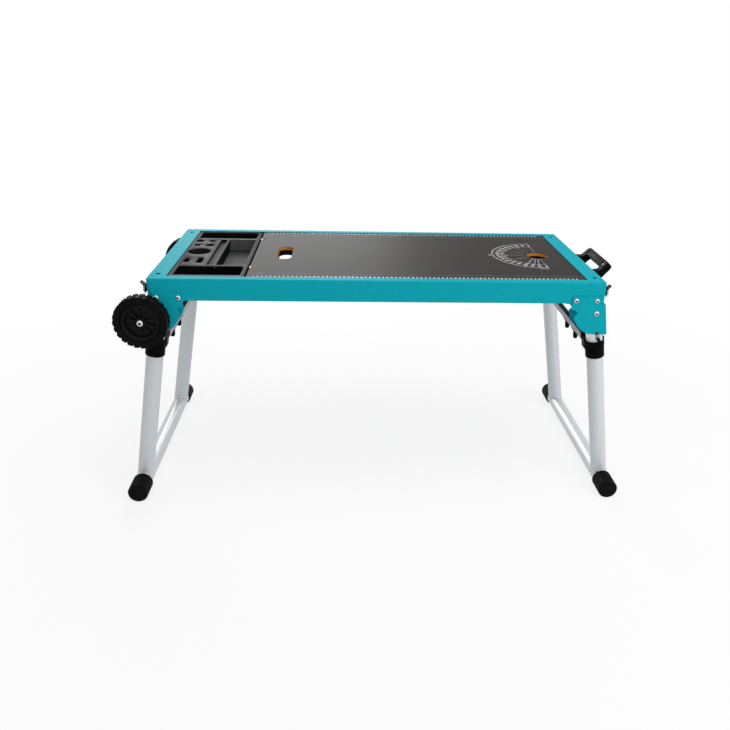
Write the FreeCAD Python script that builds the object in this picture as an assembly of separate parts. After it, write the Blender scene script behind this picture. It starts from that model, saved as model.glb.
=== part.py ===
import FreeCAD, Part
import math
import os

# Folding work table. The frame stands on the floor at z = 0, the deck is centred over the origin,
# X runs along the deck with the handle end at +X, and Y runs from the front to the back.
# All lengths are millimetres.

# Deck
table_height = 560.0
deck_length = 1060.0
deck_width = 480.0
apron_height = 52.0
deck_sheet = 1.5
deck_bend = 3.0
deck_corner_radius = 7.0
end_flange = 40.5
side_flange = 22.0
bottom_lip = 15.0
corner_hole_radius = 5.5
corner_hole_end_inset = 19.5
corner_hole_side_inset = 39.0

# Worktop board
board_thickness = 12.0
board_lap = 8.0
board_step = 0.4
slot_length = 118.0
slot_width = 37.0
slot_from_seam = 74.0
hole_radius = 28.0
hole_from_end = 68.0
liner_depth = 10.0
liner_wall = 7.0

# Seam between tray and board, with its clips
tray_opening = 178.0
seam_gap = 3.0
clip_length = 26.0
clip_sheet = 0.9
clip_prong = 8.0
clip_from_middle = 134.0

# Cross members under the worktop
member_width = 30.0
member_height = 20.0
member_sheet = 1.5
member_middle_x = -30.0
member_right_x = 230.0
member_overlap = 11.5
board_screw_radius = 2.0
board_screw_head_radius = 4.0
board_screw_head = 2.4
board_screw_bite = 8.0
board_screw_from_middle = 150.0

# Tool tray
tray_sink = 3.0
tray_wall = 2.5
tray_border = 12.0
tray_end_border = 10.5
trough_width = 62.5
trough_depth = 36.0
bin_width = 67.5
bin_depth = 26.0
bin_back_wall = 10.5
ridge_width = 9.0
groove_width = 18.5
groove_depth = 6.0
tray_rib = 18.0
cup_radius = 27.8
cup_depth = 35.0
cup_from_edge = 35.0
cup_from_middle = 5.0
socket_depth = 30.0
near_column = 18.6
far_column = 50.7
back_row = 113.0
front_row = 68.0
oblong_row = 80.0
tray_corner_radius = 6.0
large_socket_radius = 10.4
small_socket_radius = 8.0
oblong_width = 13.5
short_oblong = 33.0
long_oblong = 44.0
oblong_corner = 3.0

# Hinge brackets
bracket_sheet = 2.5
channel_gap = 43.0
pivot_inset = 16.6
pivot_drop = 75.3
splay_deg = 10.2
bracket_top_rise = 42.5
bracket_back_reach = 61.5
bracket_front_reach = 6.0
bracket_shoulder = 11.0
bracket_arc_radius = 52.5
notch_half_mouth = 8.5
stop_clearance = 0.3

# Bolts and screws of the brackets
pivot_radius = 4.0
pivot_head_radius = 6.6
pivot_head = 4.2
nut_radius = 6.8
nut_height = 5.0
bracket_screw_radius = 3.0
bracket_screw_head_radius = 5.4
bracket_screw_head = 3.4
bracket_nut_radius = 5.2
bracket_nut_height = 4.0
bracket_screw_drop = 11.0
bracket_screw_inset = 9.0
shaft_clearance = 0.08
slide_clearance = 0.3

# Leg frames
leg_radius = 20.0
leg_wall = 2.0
foot_radius = 20.0
foot_wall = 2.0
foot_overhang = 80.5
cap_radius = 24.6
cap_length = 56.0
cap_end = 5.0
cap_edge = 1.5
cap_rib_depth = 1.2
cap_rib_count = 28
cap_crest_shares = (-0.27, 0.27)
cap_valley_shares = (0.38, 0.62)

# Lock pins and their notches
pin_radius = 2.5
pin_travel = 7.5
pin_head_radius = 4.6
pin_head = 2.6
notch_clearance = 0.3
tube_slot_tail = 9.0
link_width = 7.0
link_sheet = 1.4
link_lean = 8.0

# Release collars and crossbar
collar_wall = 2.6
collar_height = 44.0
collar_start = 75.0
collar_edge = 1.2
collar_pad_height = 16.0
collar_tab = 6.0
bar_width = 14.0
bar_height = 18.0
bar_sheet = 1.5
bar_offset = 19.3
bar_centre_drop = 71.4
bar_end_gap = 1.2
lug_height = 14.0
pull_width = 12.0
pull_length = 28.0
pull_root = 8.0
pull_flange = 2.0
pull_flange_width = 22.0
pull_from_middle = 45.0
pull_spacing = 75.0

# Wheels
wheel_radius = 61.0
wheel_width = 31.0
wheel_outset = 13.0
wheel_drop = 93.0
wheel_gap = 6.5
tread_depth = 2.8
tread_groove = 6.0
tread_count = 20
rim_radius = 46.0
rim_lip = 3.0
hub_dish = 9.0
hub_web = 4.0
hub_boss_radius = 10.0
spoke_width = 5.0
spoke_count = 10
axle_radius = 5.0
axle_head_radius = 7.5
axle_head = 4.0
axle_flange_radius = 11.0
axle_ear_radius = 13.0

# Carrying handle
handle_drop = 17.5
handle_level = 34.6
handle_slope_deg = 46.0
handle_slope_length = 30.4
handle_thickness = 19.0
handle_root_half = 88.8
handle_tip_half = 75.8
handle_arm = 25.0
handle_grip = 21.7
handle_corner = 11.0
handle_bend_radius = 7.0
handle_window_corner = 5.0
handle_edge = 3.0
handle_recess = 1.5
handle_recess_margin = 5.0
handle_base = 4.0
handle_base_height = 42.0
handle_screw_radius = 2.5
handle_screw_head_radius = 4.5
handle_screw_head = 2.6

# Draw latches
latch_from_corner = 29.0
latch_drop = 27.0
latch_width = 22.0
latch_height = 26.0
latch_sheet = 1.2
latch_standoff = 9.0
latch_pivot_rise = 7.0
latch_pin_radius = 1.4
latch_ear_radius = 4.0
latch_ear_lean_deg = 60.0
latch_lever_width = 15.0
latch_lever_sheet = 2.0
latch_lever_length = 19.0
latch_lip = 6.0
bail_radius = 1.1
bail_arm = 15.0
bail_pivot_rise = 9.0
rivet_radius = 1.8
rivet_head = 0.8

# One overrun serves all cuts, and one share tells parallel lines
overrun = 5.0
nearly_one_share = 0.95

# Places that follow from the sizes above
half_length = deck_length / 2
half_width = deck_width / 2
seat_z = table_height - deck_sheet
board_bottom_z = seat_z - board_thickness
tray_z = seat_z - tray_sink
apron_bottom_z = table_height - apron_height
opening_x = half_length - end_flange
opening_y = half_width - side_flange
pivot_x = half_length - pivot_inset
pivot_z = table_height - pivot_drop
splay = math.radians(splay_deg)
leg_length = (pivot_z - cap_radius) / math.cos(splay)
foot_x = pivot_x + leg_length * math.sin(splay)
leg_y = half_width - channel_gap / 2
foot_length = 2 * (leg_y + foot_overhang)
inner_plate_y = half_width - channel_gap
seam_x = -opening_x + tray_opening
board_left_x = seam_x + seam_gap / 2
tray_right_x = seam_x - seam_gap / 2
slot_x = board_left_x + slot_from_seam
hole_x = opening_x - hole_from_end
wheel_x = -half_length - wheel_outset
wheel_z = table_height - wheel_drop
plate_face_y = half_width + bracket_sheet
wheel_inner_y = plate_face_y + wheel_gap
collar_radius = leg_radius + slide_clearance + collar_wall
web_offset = leg_radius + stop_clearance
pin_rest = (bracket_arc_radius + pin_radius + notch_clearance) / math.cos(splay)
pin_locked = pin_rest - pin_travel
handle_top_z = table_height - handle_drop
latch_y = -half_width + latch_from_corner

X = FreeCAD.Vector(1, 0, 0)
Y = FreeCAD.Vector(0, 1, 0)
Z = FreeCAD.Vector(0, 0, 1)
O = FreeCAD.Vector(0, 0, 0)


def vec(x, y, z):
    return FreeCAD.Vector(x, y, z)


def block(x0, x1, y0, y1, z0, z1):
    """A box between two corners, given in any order."""
    low = vec(min(x0, x1), min(y0, y1), min(z0, z1))
    return Part.makeBox(abs(x1 - x0), abs(y1 - y0), abs(z1 - z0), low)


def rod(radius, start, end):
    """A round bar between two points."""
    return Part.makeCylinder(radius, (end - start).Length, start, end - start)


def rod_y(radius, x, z, y0, y1):
    return rod(radius, vec(x, y0, z), vec(x, y1, z))


def rod_z(radius, x, y, z0, z1):
    return rod(radius, vec(x, y, z0), vec(x, y, z1))


def prism(points, direction):
    """A closed outline pushed along a direction."""
    return Part.Face(Part.makePolygon(points + [points[0]])).extrude(direction)


def prism_y(outline, y0, y1):
    """An outline of (x, z) pairs pushed from y0 to y1."""
    return prism([vec(x, y0, z) for x, z in outline], Y * (y1 - y0))


def prism_x(outline, x0, x1):
    """An outline of (y, z) pairs pushed from x0 to x1."""
    return prism([vec(x0, y, z) for y, z in outline], X * (x1 - x0))


def hexagon_y(radius, x, z, y0, y1):
    corners = [math.radians(60 * i) for i in range(6)]
    return prism_y([(x + radius * math.cos(a), z + radius * math.sin(a)) for a in corners], y0, y1)


def rounded_box(x0, x1, y0, y1, z0, z1, radius):
    """A box with its upright edges rounded."""
    body = block(x0, x1, y0, y1, z0, z1)
    upright = [e for e in body.Edges if abs(e.tangentAt(e.FirstParameter).z) > 0.9]
    return body.makeFillet(radius, upright)


def turned(profile, centre, axis):
    """An outline of (radius, height) pairs turned about an axis through a centre."""
    points = [vec(r, 0, h) for r, h in profile]
    body = Part.Face(Part.makePolygon(points + [points[0]])).revolve(O, Z, 360)
    body.Placement = FreeCAD.Placement(centre, FreeCAD.Rotation(Z, axis))
    return body


def screw(radius, head_radius, head, seat, out, shank):
    """A headed pin with a chamfered head: its head stands on a seat and its shank goes the other way."""
    profile = [(0, -shank), (radius, -shank), (radius, 0), (head_radius, 0), (head_radius, head / 2),
               (head_radius - head / 2, head), (0, head)]
    return turned(profile, seat, out)


def fuse(shapes):
    first = shapes[0]
    return first.fuse(shapes[1:]).removeSplitter() if len(shapes) > 1 else first


def mirrored_x(shape):
    return shape.mirror(O, X)


def mirrored_y(shape):
    return shape.mirror(O, Y)


def to_corner(shape, side, end):
    """A piece drawn at the right front corner, mirrored to the named one."""
    if side == "left":
        shape = mirrored_x(shape)
    if end == "back":
        shape = mirrored_y(shape)
    return shape


def leaned(shape, side):
    """A piece drawn on an upright leg that hangs from the origin, set at its place on one leg frame."""
    body = shape.copy()
    body.rotate(O, Y, -splay_deg)
    body.translate(vec(pivot_x, 0, pivot_z))
    return mirrored_x(body) if side == "left" else body


def export(name, shapes):
    """One STEP file for a node of one or more solids."""
    solids = []
    for shape in shapes:
        solids += shape.Solids
    shape = solids[0] if len(solids) == 1 else Part.makeCompound(solids)
    shape.exportStep("parts/" + name + ".step")


# Deck


def deck_ring():
    """The whole folded frame: top flanges, aprons and bottom lips, with rounded bends and corners."""
    outer = rounded_box(-half_length, half_length, -half_width, half_width,
                        apron_bottom_z, table_height, deck_corner_radius)
    bends = [e for e in outer.Edges if e.BoundBox.ZLength < deck_sheet / 2]
    outer = outer.makeFillet(deck_bend, bends)
    inner_x = half_length - deck_sheet
    inner_y = half_width - deck_sheet
    inner = rounded_box(-inner_x, inner_x, -inner_y, inner_y, apron_bottom_z + deck_sheet,
                        seat_z, deck_corner_radius - deck_sheet)
    bends = [e for e in inner.Edges if e.BoundBox.ZLength < deck_sheet / 2]
    inner = inner.makeFillet(deck_bend - deck_sheet, bends)
    opening = block(-opening_x, opening_x, -opening_y, opening_y,
                    seat_z - overrun, table_height + overrun)
    lip_x = half_length - bottom_lip
    lip_y = half_width - bottom_lip
    under = block(-lip_x, lip_x, -lip_y, lip_y, apron_bottom_z - overrun,
                  apron_bottom_z + deck_sheet + overrun)
    ring = outer.cut([inner, opening, under])
    hole_at_x = half_length - corner_hole_end_inset
    hole_at_y = half_width - corner_hole_side_inset
    holes = []
    for x in (-hole_at_x, hole_at_x):
        for y in (-hole_at_y, hole_at_y):
            holes.append(rod_z(corner_hole_radius, x, y, seat_z - overrun, table_height + overrun))
    return ring.cut(holes)


def deck_rails():
    """The ring parted at the weld lines into two full-length side rails and two end rails."""
    ring = deck_ring()
    reach_x = half_length + overrun
    reach_y = half_width + overrun
    z0 = apron_bottom_z - overrun
    z1 = table_height + overrun
    front = ring.common(block(-reach_x, reach_x, -reach_y, -opening_y, z0, z1))
    back = ring.common(block(-reach_x, reach_x, opening_y, reach_y, z0, z1))
    left = ring.common(block(-reach_x, 0, -opening_y, opening_y, z0, z1))
    right = ring.common(block(0, reach_x, -opening_y, opening_y, z0, z1))
    cuts = bracket_screw_holes()
    export("front_rail", [front.cut(cuts)])
    export("back_rail", [back.cut(cuts)])
    export("left_end_rail", [left.cut(latch_rivets("left"))])
    export("right_end_rail", [right.cut(latch_rivets("right") + handle_screw_shanks())])


def member_places():
    """Centres of the five cross members: both ends, the seam and two under the board."""
    end_x = opening_x + board_lap + member_width / 2 - member_overlap
    joint_x = tray_right_x + member_width / 2 - tray_border / 2
    return {"left_end": -end_x, "seam": joint_x, "middle": member_middle_x,
            "right": member_right_x, "right_end": end_x}


def board_screw_places():
    places = []
    for name, x in member_places().items():
        if name != "left_end":
            x_screw = x + member_width / 4 if name == "seam" else x
            x_screw = x - member_width / 4 if name == "right_end" else x_screw
            for y in (-board_screw_from_middle, board_screw_from_middle):
                places.append((x_screw, y))
    return places


def cross_members():
    """Channels open downwards from apron to apron, with their webs against the board."""
    holes = []
    for x, y in board_screw_places():
        holes.append(rod_z(board_screw_radius + shaft_clearance, x, y,
                           board_bottom_z - member_height, board_bottom_z + overrun))
    length_y = half_width - deck_sheet
    for name, x in member_places().items():
        x0 = x - member_width / 2
        x1 = x + member_width / 2
        low = board_bottom_z - member_height
        channel = block(x0, x1, -length_y, length_y, low, board_bottom_z)
        channel = channel.makeFillet(deck_bend, [e for e in channel.Edges
                                                 if e.BoundBox.YLength > length_y
                                                 and e.BoundBox.ZMin > low + member_sheet])
        hollow = block(x0 + member_sheet, x1 - member_sheet, -length_y - overrun,
                       length_y + overrun, low - overrun, board_bottom_z - member_sheet)
        export("cross_member_" + name, [channel.cut([hollow] + holes)])


def board_screws():
    screws = []
    web_z = board_bottom_z - member_sheet
    for x, y in board_screw_places():
        screws.append(screw(board_screw_radius, board_screw_head_radius, board_screw_head,
                            vec(x, y, web_z), -Z, member_sheet + board_screw_bite))
    export("board_screws", screws)


def slot_shape(z0, z1, grow):
    """The hand slot as a stadium along Y, grown all round."""
    straight = (slot_length - slot_width) / 2
    radius = slot_width / 2 + grow
    parts = [block(slot_x - radius, slot_x + radius, -straight, straight, z0, z1)]
    for y in (-straight, straight):
        parts.append(rod_z(radius, slot_x, y, z0, z1))
    return fuse(parts)


def prong_places():
    """Start and end along Y of the prongs of both seam clips."""
    places = []
    for middle in (-clip_from_middle, clip_from_middle):
        low = middle - clip_length / 2
        high = middle + clip_length / 2
        places += [(low, low + clip_prong), (high - clip_prong, high)]
    return places


def worktop():
    """Board under the top flanges: its field stands in their opening, its stepped edge below them."""
    edge_z = seat_z - board_step
    field_x = opening_x - slide_clearance
    field_y = opening_y - slide_clearance
    edge = block(board_left_x, opening_x + board_lap, -opening_y - board_lap,
                 opening_y + board_lap, board_bottom_z, edge_z)
    board = fuse([edge, block(board_left_x, field_x, -field_y, field_y, board_bottom_z, seat_z)])
    notches = []
    for y0, y1 in prong_places():
        notches.append(block(board_left_x - overrun, board_left_x + clip_prong + slide_clearance,
                             y0 - slide_clearance, y1 + slide_clearance, seat_z - clip_sheet,
                             seat_z + overrun))
    slot = slot_shape(board_bottom_z - overrun, seat_z + overrun, 0)
    hole = rod_z(hole_radius, hole_x, 0, board_bottom_z - overrun, seat_z + overrun)
    pilots = []
    for x, y in board_screw_places():
        pilots.append(rod_z(board_screw_radius + shaft_clearance, x, y, board_bottom_z - overrun,
                            board_bottom_z + board_screw_bite + shaft_clearance))
    export("worktop_board", [board.cut([slot, hole] + pilots + notches)])
    low = board_bottom_z - liner_depth
    ring = slot_shape(low, board_bottom_z, liner_wall)
    export("slot_liner", [ring.cut(slot_shape(low - overrun, board_bottom_z + overrun, 0))])
    collar = rod_z(hole_radius + liner_wall, hole_x, 0, low, board_bottom_z)
    bore = rod_z(hole_radius, hole_x, 0, low - overrun, board_bottom_z + overrun)
    export("hole_liner", [collar.cut(bore)])


def seam_clips():
    """Bent strips at the board's left edge, each with two prongs let into its top face."""
    clips = []
    prongs = prong_places()
    for middle in (-clip_from_middle, clip_from_middle):
        y0 = middle - clip_length / 2
        y1 = middle + clip_length / 2
        parts = [block(board_left_x - clip_sheet, board_left_x, y0, y1, board_bottom_z, seat_z)]
        for low, high in prongs:
            if y0 <= low and high <= y1:
                parts.append(block(board_left_x - clip_sheet, board_left_x + clip_prong, low,
                                   high, seat_z - clip_sheet, seat_z))
        clips.append(fuse(parts))
    export("seam_clips", clips)


# Tool tray


def tray_layout():
    """Sides of the tray's pockets, from its border inwards."""
    left = -opening_x + tray_end_border
    right = tray_right_x - tray_end_border
    back = opening_y - tray_border
    ridge_x = right - bin_width
    groove_x = ridge_x - ridge_width
    return {"left": left, "right": right, "front": -back, "back": back,
            "front_rib": -back + trough_width, "back_rib": back - trough_width,
            "ridge": ridge_x, "groove": groove_x, "block": groove_x - groove_width}


def tray_sockets():
    """Round tool holes and the cup hole on the block: x, y, radius, depth."""
    near_x = -opening_x + near_column
    far_x = -opening_x + far_column
    return [(-opening_x + cup_from_edge, cup_from_middle, cup_radius, cup_depth),
            (near_x, back_row, large_socket_radius, socket_depth),
            (far_x, back_row, small_socket_radius, socket_depth),
            (near_x, front_row, small_socket_radius, socket_depth),
            (far_x, front_row, large_socket_radius, socket_depth)]


def tray_oblongs():
    """Two oblong tool holes: x, y, length along Y."""
    return [(-opening_x + near_column, -oblong_row, short_oblong),
            (-opening_x + far_column, -oblong_row, long_oblong)]


def tray_pocket(x0, x1, y0, y1, depth, grow):
    """A pocket's hollow, or its outer wall when grown."""
    floor_z = tray_z - depth - grow
    top_z = tray_z if grow else tray_z + overrun
    return rounded_box(x0 - grow, x1 + grow, y0 - grow, y1 + grow, floor_z, top_z,
                       tray_corner_radius)


def tool_tray():
    """Moulded tray: a top with a skirt all round, and walled pockets that hang below it."""
    place = tray_layout()
    rim_x = -opening_x - board_lap
    rim_y = opening_y + board_lap
    outer = block(rim_x, tray_right_x, -rim_y, rim_y, board_bottom_z, tray_z)
    under = block(rim_x + tray_wall, tray_right_x - tray_wall, -rim_y + tray_wall,
                  rim_y - tray_wall, board_bottom_z - overrun, tray_z - tray_wall)
    inner_front = place["front_rib"] + tray_rib
    pockets = [
        (place["left"], place["right"], place["back_rib"], place["back"], trough_depth),
        (place["left"], place["right"], place["front"], place["front_rib"], trough_depth),
        (place["ridge"], place["right"], inner_front, place["back_rib"] - bin_back_wall, bin_depth),
        (place["block"], place["groove"], inner_front, place["back_rib"] - tray_rib, groove_depth)]
    walls = [tray_pocket(*pocket, tray_wall) for pocket in pockets]
    hollows = [tray_pocket(*pocket, 0) for pocket in pockets]
    for x, y, radius, depth in tray_sockets():
        walls.append(rod_z(radius + tray_wall, x, y, tray_z - depth - tray_wall, tray_z))
        hollows.append(rod_z(radius, x, y, tray_z - depth, tray_z + overrun))
    for x, y, length in tray_oblongs():
        x0 = x - oblong_width / 2
        x1 = x + oblong_width / 2
        walls.append(block(x0 - tray_wall, x1 + tray_wall, y - length / 2 - tray_wall,
                           y + length / 2 + tray_wall, tray_z - socket_depth - tray_wall, tray_z))
        hollows.append(rounded_box(x0, x1, y - length / 2, y + length / 2,
                                   tray_z - socket_depth, tray_z + overrun, oblong_corner))
    tray = outer.cut(under).fuse(walls).removeSplitter().cut(hollows)
    export("tool_tray", [tray])


# Hinge brackets


def web_x(z, offset):
    """X of a line at the leg's splay, offset outwards from the leg's axis, at a height."""
    return pivot_x + (pivot_z - z) * math.tan(splay) + offset / math.cos(splay)


def bracket_outline(with_shoulder):
    """The plate seen from the front: flat top, slanted outer edge, quarter-round inner corner."""
    top = pivot_z + bracket_top_rise if with_shoulder else apron_bottom_z
    bottom = pivot_z - bracket_arc_radius
    outer = web_offset + bracket_sheet
    left = pivot_x - bracket_back_reach
    turn = math.asin(notch_half_mouth / bracket_arc_radius)
    arc_end = vec(pivot_x - bracket_arc_radius * math.cos(turn), 0, pivot_z - notch_half_mouth)
    arc_mid_angle = (turn + math.pi / 2) / 2
    arc_mid = vec(pivot_x - bracket_arc_radius * math.cos(arc_mid_angle), 0,
                  pivot_z - bracket_arc_radius * math.sin(arc_mid_angle))
    arc_start = vec(pivot_x, 0, bottom)
    points = [arc_end, vec(left, 0, pivot_z - notch_half_mouth), vec(left, 0, top)]
    if with_shoulder:
        points += [vec(pivot_x + bracket_front_reach, 0, top),
                   vec(pivot_x + bracket_shoulder, 0, apron_bottom_z)]
    points += [vec(web_x(apron_bottom_z, outer), 0, apron_bottom_z),
               vec(web_x(bottom, outer), 0, bottom), arc_start]
    edges = [Part.makeLine(a, b) for a, b in zip(points, points[1:])]
    edges.append(Part.Arc(arc_start, arc_mid, arc_end).toShape())
    return Part.Face(Part.Wire(edges))


def notch_cutters():
    """Flared notches where the lock pin drops in: under the stored leg and under the open one."""
    tip = pin_locked
    mouth = bracket_back_reach + overrun
    half = pin_radius + notch_clearance
    cutters = []
    for angle in (0, 90 + splay_deg):
        outline = [(tip, -half), (bracket_arc_radius, -notch_half_mouth), (mouth, -notch_half_mouth),
                   (mouth, notch_half_mouth), (bracket_arc_radius, notch_half_mouth), (tip, half)]
        if angle:
            outline = [(tip, -half), (mouth, -half), (mouth, half), (tip, half)]
        wedge = prism_y([(pivot_x - u, pivot_z + w) for u, w in outline],
                        -plate_face_y - overrun, -inner_plate_y + bracket_sheet + overrun)
        end = rod_y(half, pivot_x - tip, pivot_z, -plate_face_y - overrun,
                    -inner_plate_y + bracket_sheet + overrun)
        cutter = wedge.fuse(end)
        cutter.rotate(vec(pivot_x, 0, pivot_z), Y, -angle)
        cutters.append(cutter)
    return cutters


def axle_ear():
    """Lug on the wheel side: a round ear about the axle, tangent to the plate."""
    x = -wheel_x
    reach = axle_ear_radius
    ear = rod_y(axle_ear_radius, x, wheel_z, -plate_face_y, -half_width)
    neck = prism_y([(x, wheel_z + reach), (x - 2 * reach, wheel_z + reach),
                    (x - 2 * reach, wheel_z - reach), (x, wheel_z - reach)],
                   -plate_face_y, -half_width)
    return [ear, neck]


def bracket(with_ear):
    """Right front bracket: outer plate on the apron, top wall, slanted web and inner plate."""
    outer_plate = bracket_outline(True).extrude(-Y * bracket_sheet)
    outer_plate.translate(-Y * half_width)
    inner_plate = bracket_outline(False).extrude(Y * bracket_sheet)
    inner_plate.translate(-Y * inner_plate_y)
    bottom = pivot_z - bracket_arc_radius
    y0 = -plate_face_y
    y1 = -inner_plate_y + bracket_sheet
    outer = web_offset + bracket_sheet
    web = prism_y([(web_x(apron_bottom_z, web_offset), apron_bottom_z),
                   (web_x(apron_bottom_z, outer), apron_bottom_z),
                   (web_x(bottom, outer), bottom), (web_x(bottom, web_offset), bottom)], y0, y1)
    roof = block(pivot_x - bracket_back_reach, web_x(apron_bottom_z, outer),
                 -half_width, y1, apron_bottom_z - bracket_sheet, apron_bottom_z)
    ear = axle_ear() if with_ear else []
    body = fuse([outer_plate, inner_plate, web, roof] + ear)
    pivot_hole = rod_y(pivot_radius + shaft_clearance, pivot_x, pivot_z, y0 - overrun,
                       y1 + overrun)
    return body.cut([pivot_hole] + notch_cutters() + bracket_screw_cutters())


def bracket_screw_places():
    """Screws of the right front bracket, in X and Z."""
    z = pivot_z + bracket_top_rise - bracket_screw_drop
    left = pivot_x - bracket_back_reach + bracket_screw_inset
    right = pivot_x + bracket_front_reach - bracket_screw_inset
    return [(left, z), (right, z)]


def bracket_screw_cutters():
    return [rod_y(bracket_screw_radius + shaft_clearance, x, z, -plate_face_y - overrun,
                  -half_width + deck_sheet + overrun) for x, z in bracket_screw_places()]


def bracket_screw_holes():
    """Screw holes of all four brackets, through both aprons."""
    holes = []
    for side in ("left", "right"):
        for end in ("front", "back"):
            holes += [to_corner(hole, side, end) for hole in bracket_screw_cutters()]
    return holes


def bracket_fasteners():
    """Screws and nuts that hold the brackets, and the pivot bolts with theirs."""
    screws, nuts, bolts, locknuts = [], [], [], []
    inside_y = -half_width + deck_sheet
    tail_y = inside_y + bracket_nut_height + shaft_clearance
    inner_face_y = -inner_plate_y + bracket_sheet
    pivot_tail_y = inner_face_y + nut_height + shaft_clearance
    for side in ("left", "right"):
        for end in ("front", "back"):
            for x, z in bracket_screw_places():
                fixing = screw(bracket_screw_radius, bracket_screw_head_radius, bracket_screw_head,
                               vec(x, -plate_face_y, z), -Y, tail_y + plate_face_y)
                nut = hexagon_y(bracket_nut_radius, x, z, inside_y, inside_y + bracket_nut_height)
                nut = nut.cut(rod_y(bracket_screw_radius, x, z, inside_y - overrun, tail_y + overrun))
                screws.append(to_corner(fixing, side, end))
                nuts.append(to_corner(nut, side, end))
            bolt = screw(pivot_radius, pivot_head_radius, pivot_head,
                         vec(pivot_x, -plate_face_y, pivot_z), -Y, pivot_tail_y + plate_face_y)
            nut = hexagon_y(nut_radius, pivot_x, pivot_z, inner_face_y, inner_face_y + nut_height)
            nut = nut.cut(rod_y(pivot_radius, pivot_x, pivot_z, inner_face_y - overrun,
                                pivot_tail_y + overrun))
            bolts.append(to_corner(bolt, side, end))
            locknuts.append(to_corner(nut, side, end))
    export("bracket_screws", screws)
    export("bracket_nuts", nuts)
    export("pivot_bolts", bolts)
    export("pivot_nuts", locknuts)


# Leg frames


def leg_tube(end_sign):
    """A tube hung from its pivot: rounded top, pin slot, and a saddle where it meets the foot."""
    y = end_sign * leg_y
    top = leg_radius
    outer = rod_z(leg_radius, 0, y, -leg_length, top)
    bore = rod_z(leg_radius - leg_wall, 0, y, -leg_length - overrun, top + overrun)
    tube = outer.cut(bore)
    end_cheek = rod_y(leg_radius, 0, 0, y - leg_radius - overrun, y + leg_radius + overrun)
    below = block(-leg_radius - overrun, leg_radius + overrun, y - leg_radius - overrun,
                  y + leg_radius + overrun, -leg_length - overrun, 0)
    tube = tube.common(end_cheek.fuse(below))
    saddle = rod_y(foot_radius, 0, -leg_length, y - leg_radius - overrun, y + leg_radius + overrun)
    pivot_hole = rod_y(pivot_radius + shaft_clearance, 0, 0, y - leg_radius - overrun,
                       y + leg_radius + overrun)
    half = pin_radius + slide_clearance
    slot_low = -pin_rest - tube_slot_tail
    slot = block(-half, half, y - leg_radius - overrun, y + leg_radius + overrun,
                 slot_low, -pin_locked)
    ends = [rod_y(half, 0, z, y - leg_radius - overrun, y + leg_radius + overrun)
            for z in (slot_low, -pin_locked)]
    return tube.cut([saddle, pivot_hole, slot] + ends)


def foot_tube():
    """Tube along Y that joins the two legs of one end."""
    half = foot_length / 2 - cap_end
    tube = rod_y(foot_radius, foot_x, cap_radius, -half, half)
    return tube.cut(rod_y(foot_radius - foot_wall, foot_x, cap_radius, -half - overrun,
                          half + overrun))


def foot_cap(end_sign):
    """Ribbed cup over the end of the foot tube, with a smooth end and a flat rib at its lowest line."""
    face_y = end_sign * foot_length / 2
    mouth_y = end_sign * (foot_length / 2 - cap_length)
    floor_y = end_sign * (foot_length / 2 - cap_end)
    ribs_y = end_sign * (foot_length / 2 - cap_edge)
    pitch = 2 * math.pi / cap_rib_count
    outline = []
    for i in range(cap_rib_count):
        for shares, radius in ((cap_crest_shares, cap_radius),
                               (cap_valley_shares, cap_radius - cap_rib_depth)):
            for share in shares:
                angle = -math.pi / 2 + pitch * (i + share)
                reach = radius / math.cos(pitch * cap_crest_shares[1])
                outline.append((foot_x + reach * math.cos(angle),
                                cap_radius + reach * math.sin(angle)))
    body = prism_y(outline, mouth_y, ribs_y)
    root = cap_radius - cap_rib_depth
    end = turned([(0, 0), (root, 0), (root, cap_edge), (root - cap_edge, 2 * cap_edge),
                  (0, 2 * cap_edge)], vec(foot_x, ribs_y - end_sign * cap_edge, cap_radius),
                 Y * end_sign)
    bore = rod_y(foot_radius + shaft_clearance, foot_x, cap_radius, mouth_y - end_sign * overrun,
                 floor_y)
    return fuse([body, end]).cut(bore)


def leg_frames():
    for side in ("left", "right"):
        for end, sign in (("front", -1), ("back", 1)):
            export(side + "_" + end + "_leg", [leaned(leg_tube(sign), side)])
            cap = foot_cap(sign)
            export(side + "_" + end + "_foot_cap", [mirrored_x(cap) if side == "left" else cap])
        foot = foot_tube()
        export(side + "_foot_tube", [mirrored_x(foot) if side == "left" else foot])


# Release: collars, crossbar, pulls, lock pins and links, drawn on an upright leg


def collar(sign):
    """Sliding sleeve with a pad for the link, a tab on its outer side and a lug for the crossbar."""
    y = sign * leg_y
    top = -collar_start
    low = top - collar_height
    inner = leg_radius + slide_clearance
    sleeve = turned([(inner, low), (collar_radius - collar_edge, low), (collar_radius, low + collar_edge),
                     (collar_radius, top - collar_edge), (collar_radius - collar_edge, top),
                     (inner, top)], vec(0, y, 0), Z)
    pad_y = sign * (plate_face_y + notch_clearance)
    pad = block(link_lean - link_width, link_lean + link_width, y, pad_y, top - collar_pad_height,
                top - collar_edge)
    tab_width = collar_radius / 2
    tab = block(inner, collar_radius, y - tab_width / 2, y + tab_width / 2,
                top - collar_pad_height, top + collar_tab)
    bar_end_y = sign * (inner_plate_y - bracket_sheet - bar_end_gap)
    lug_half = bar_width / 2 - bar_sheet - shaft_clearance
    lug_top = -bar_centre_drop - bar_height / 2 + bar_sheet + shaft_clearance + lug_height / 2
    lug = block(-bar_offset - lug_half, -bar_offset + lug_half, y,
                bar_end_y - sign * lug_height, lug_top - lug_height / 2, lug_top)
    gusset = block(-bar_offset - lug_half, -bar_offset + lug_half, y,
                   sign * (inner_plate_y - bracket_sheet), low + collar_height / 2, lug_top)
    bore = rod_z(inner, 0, y, low - overrun, top + collar_tab + overrun)
    return fuse([sleeve, pad, tab, lug, gusset]).cut(bore)


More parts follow.
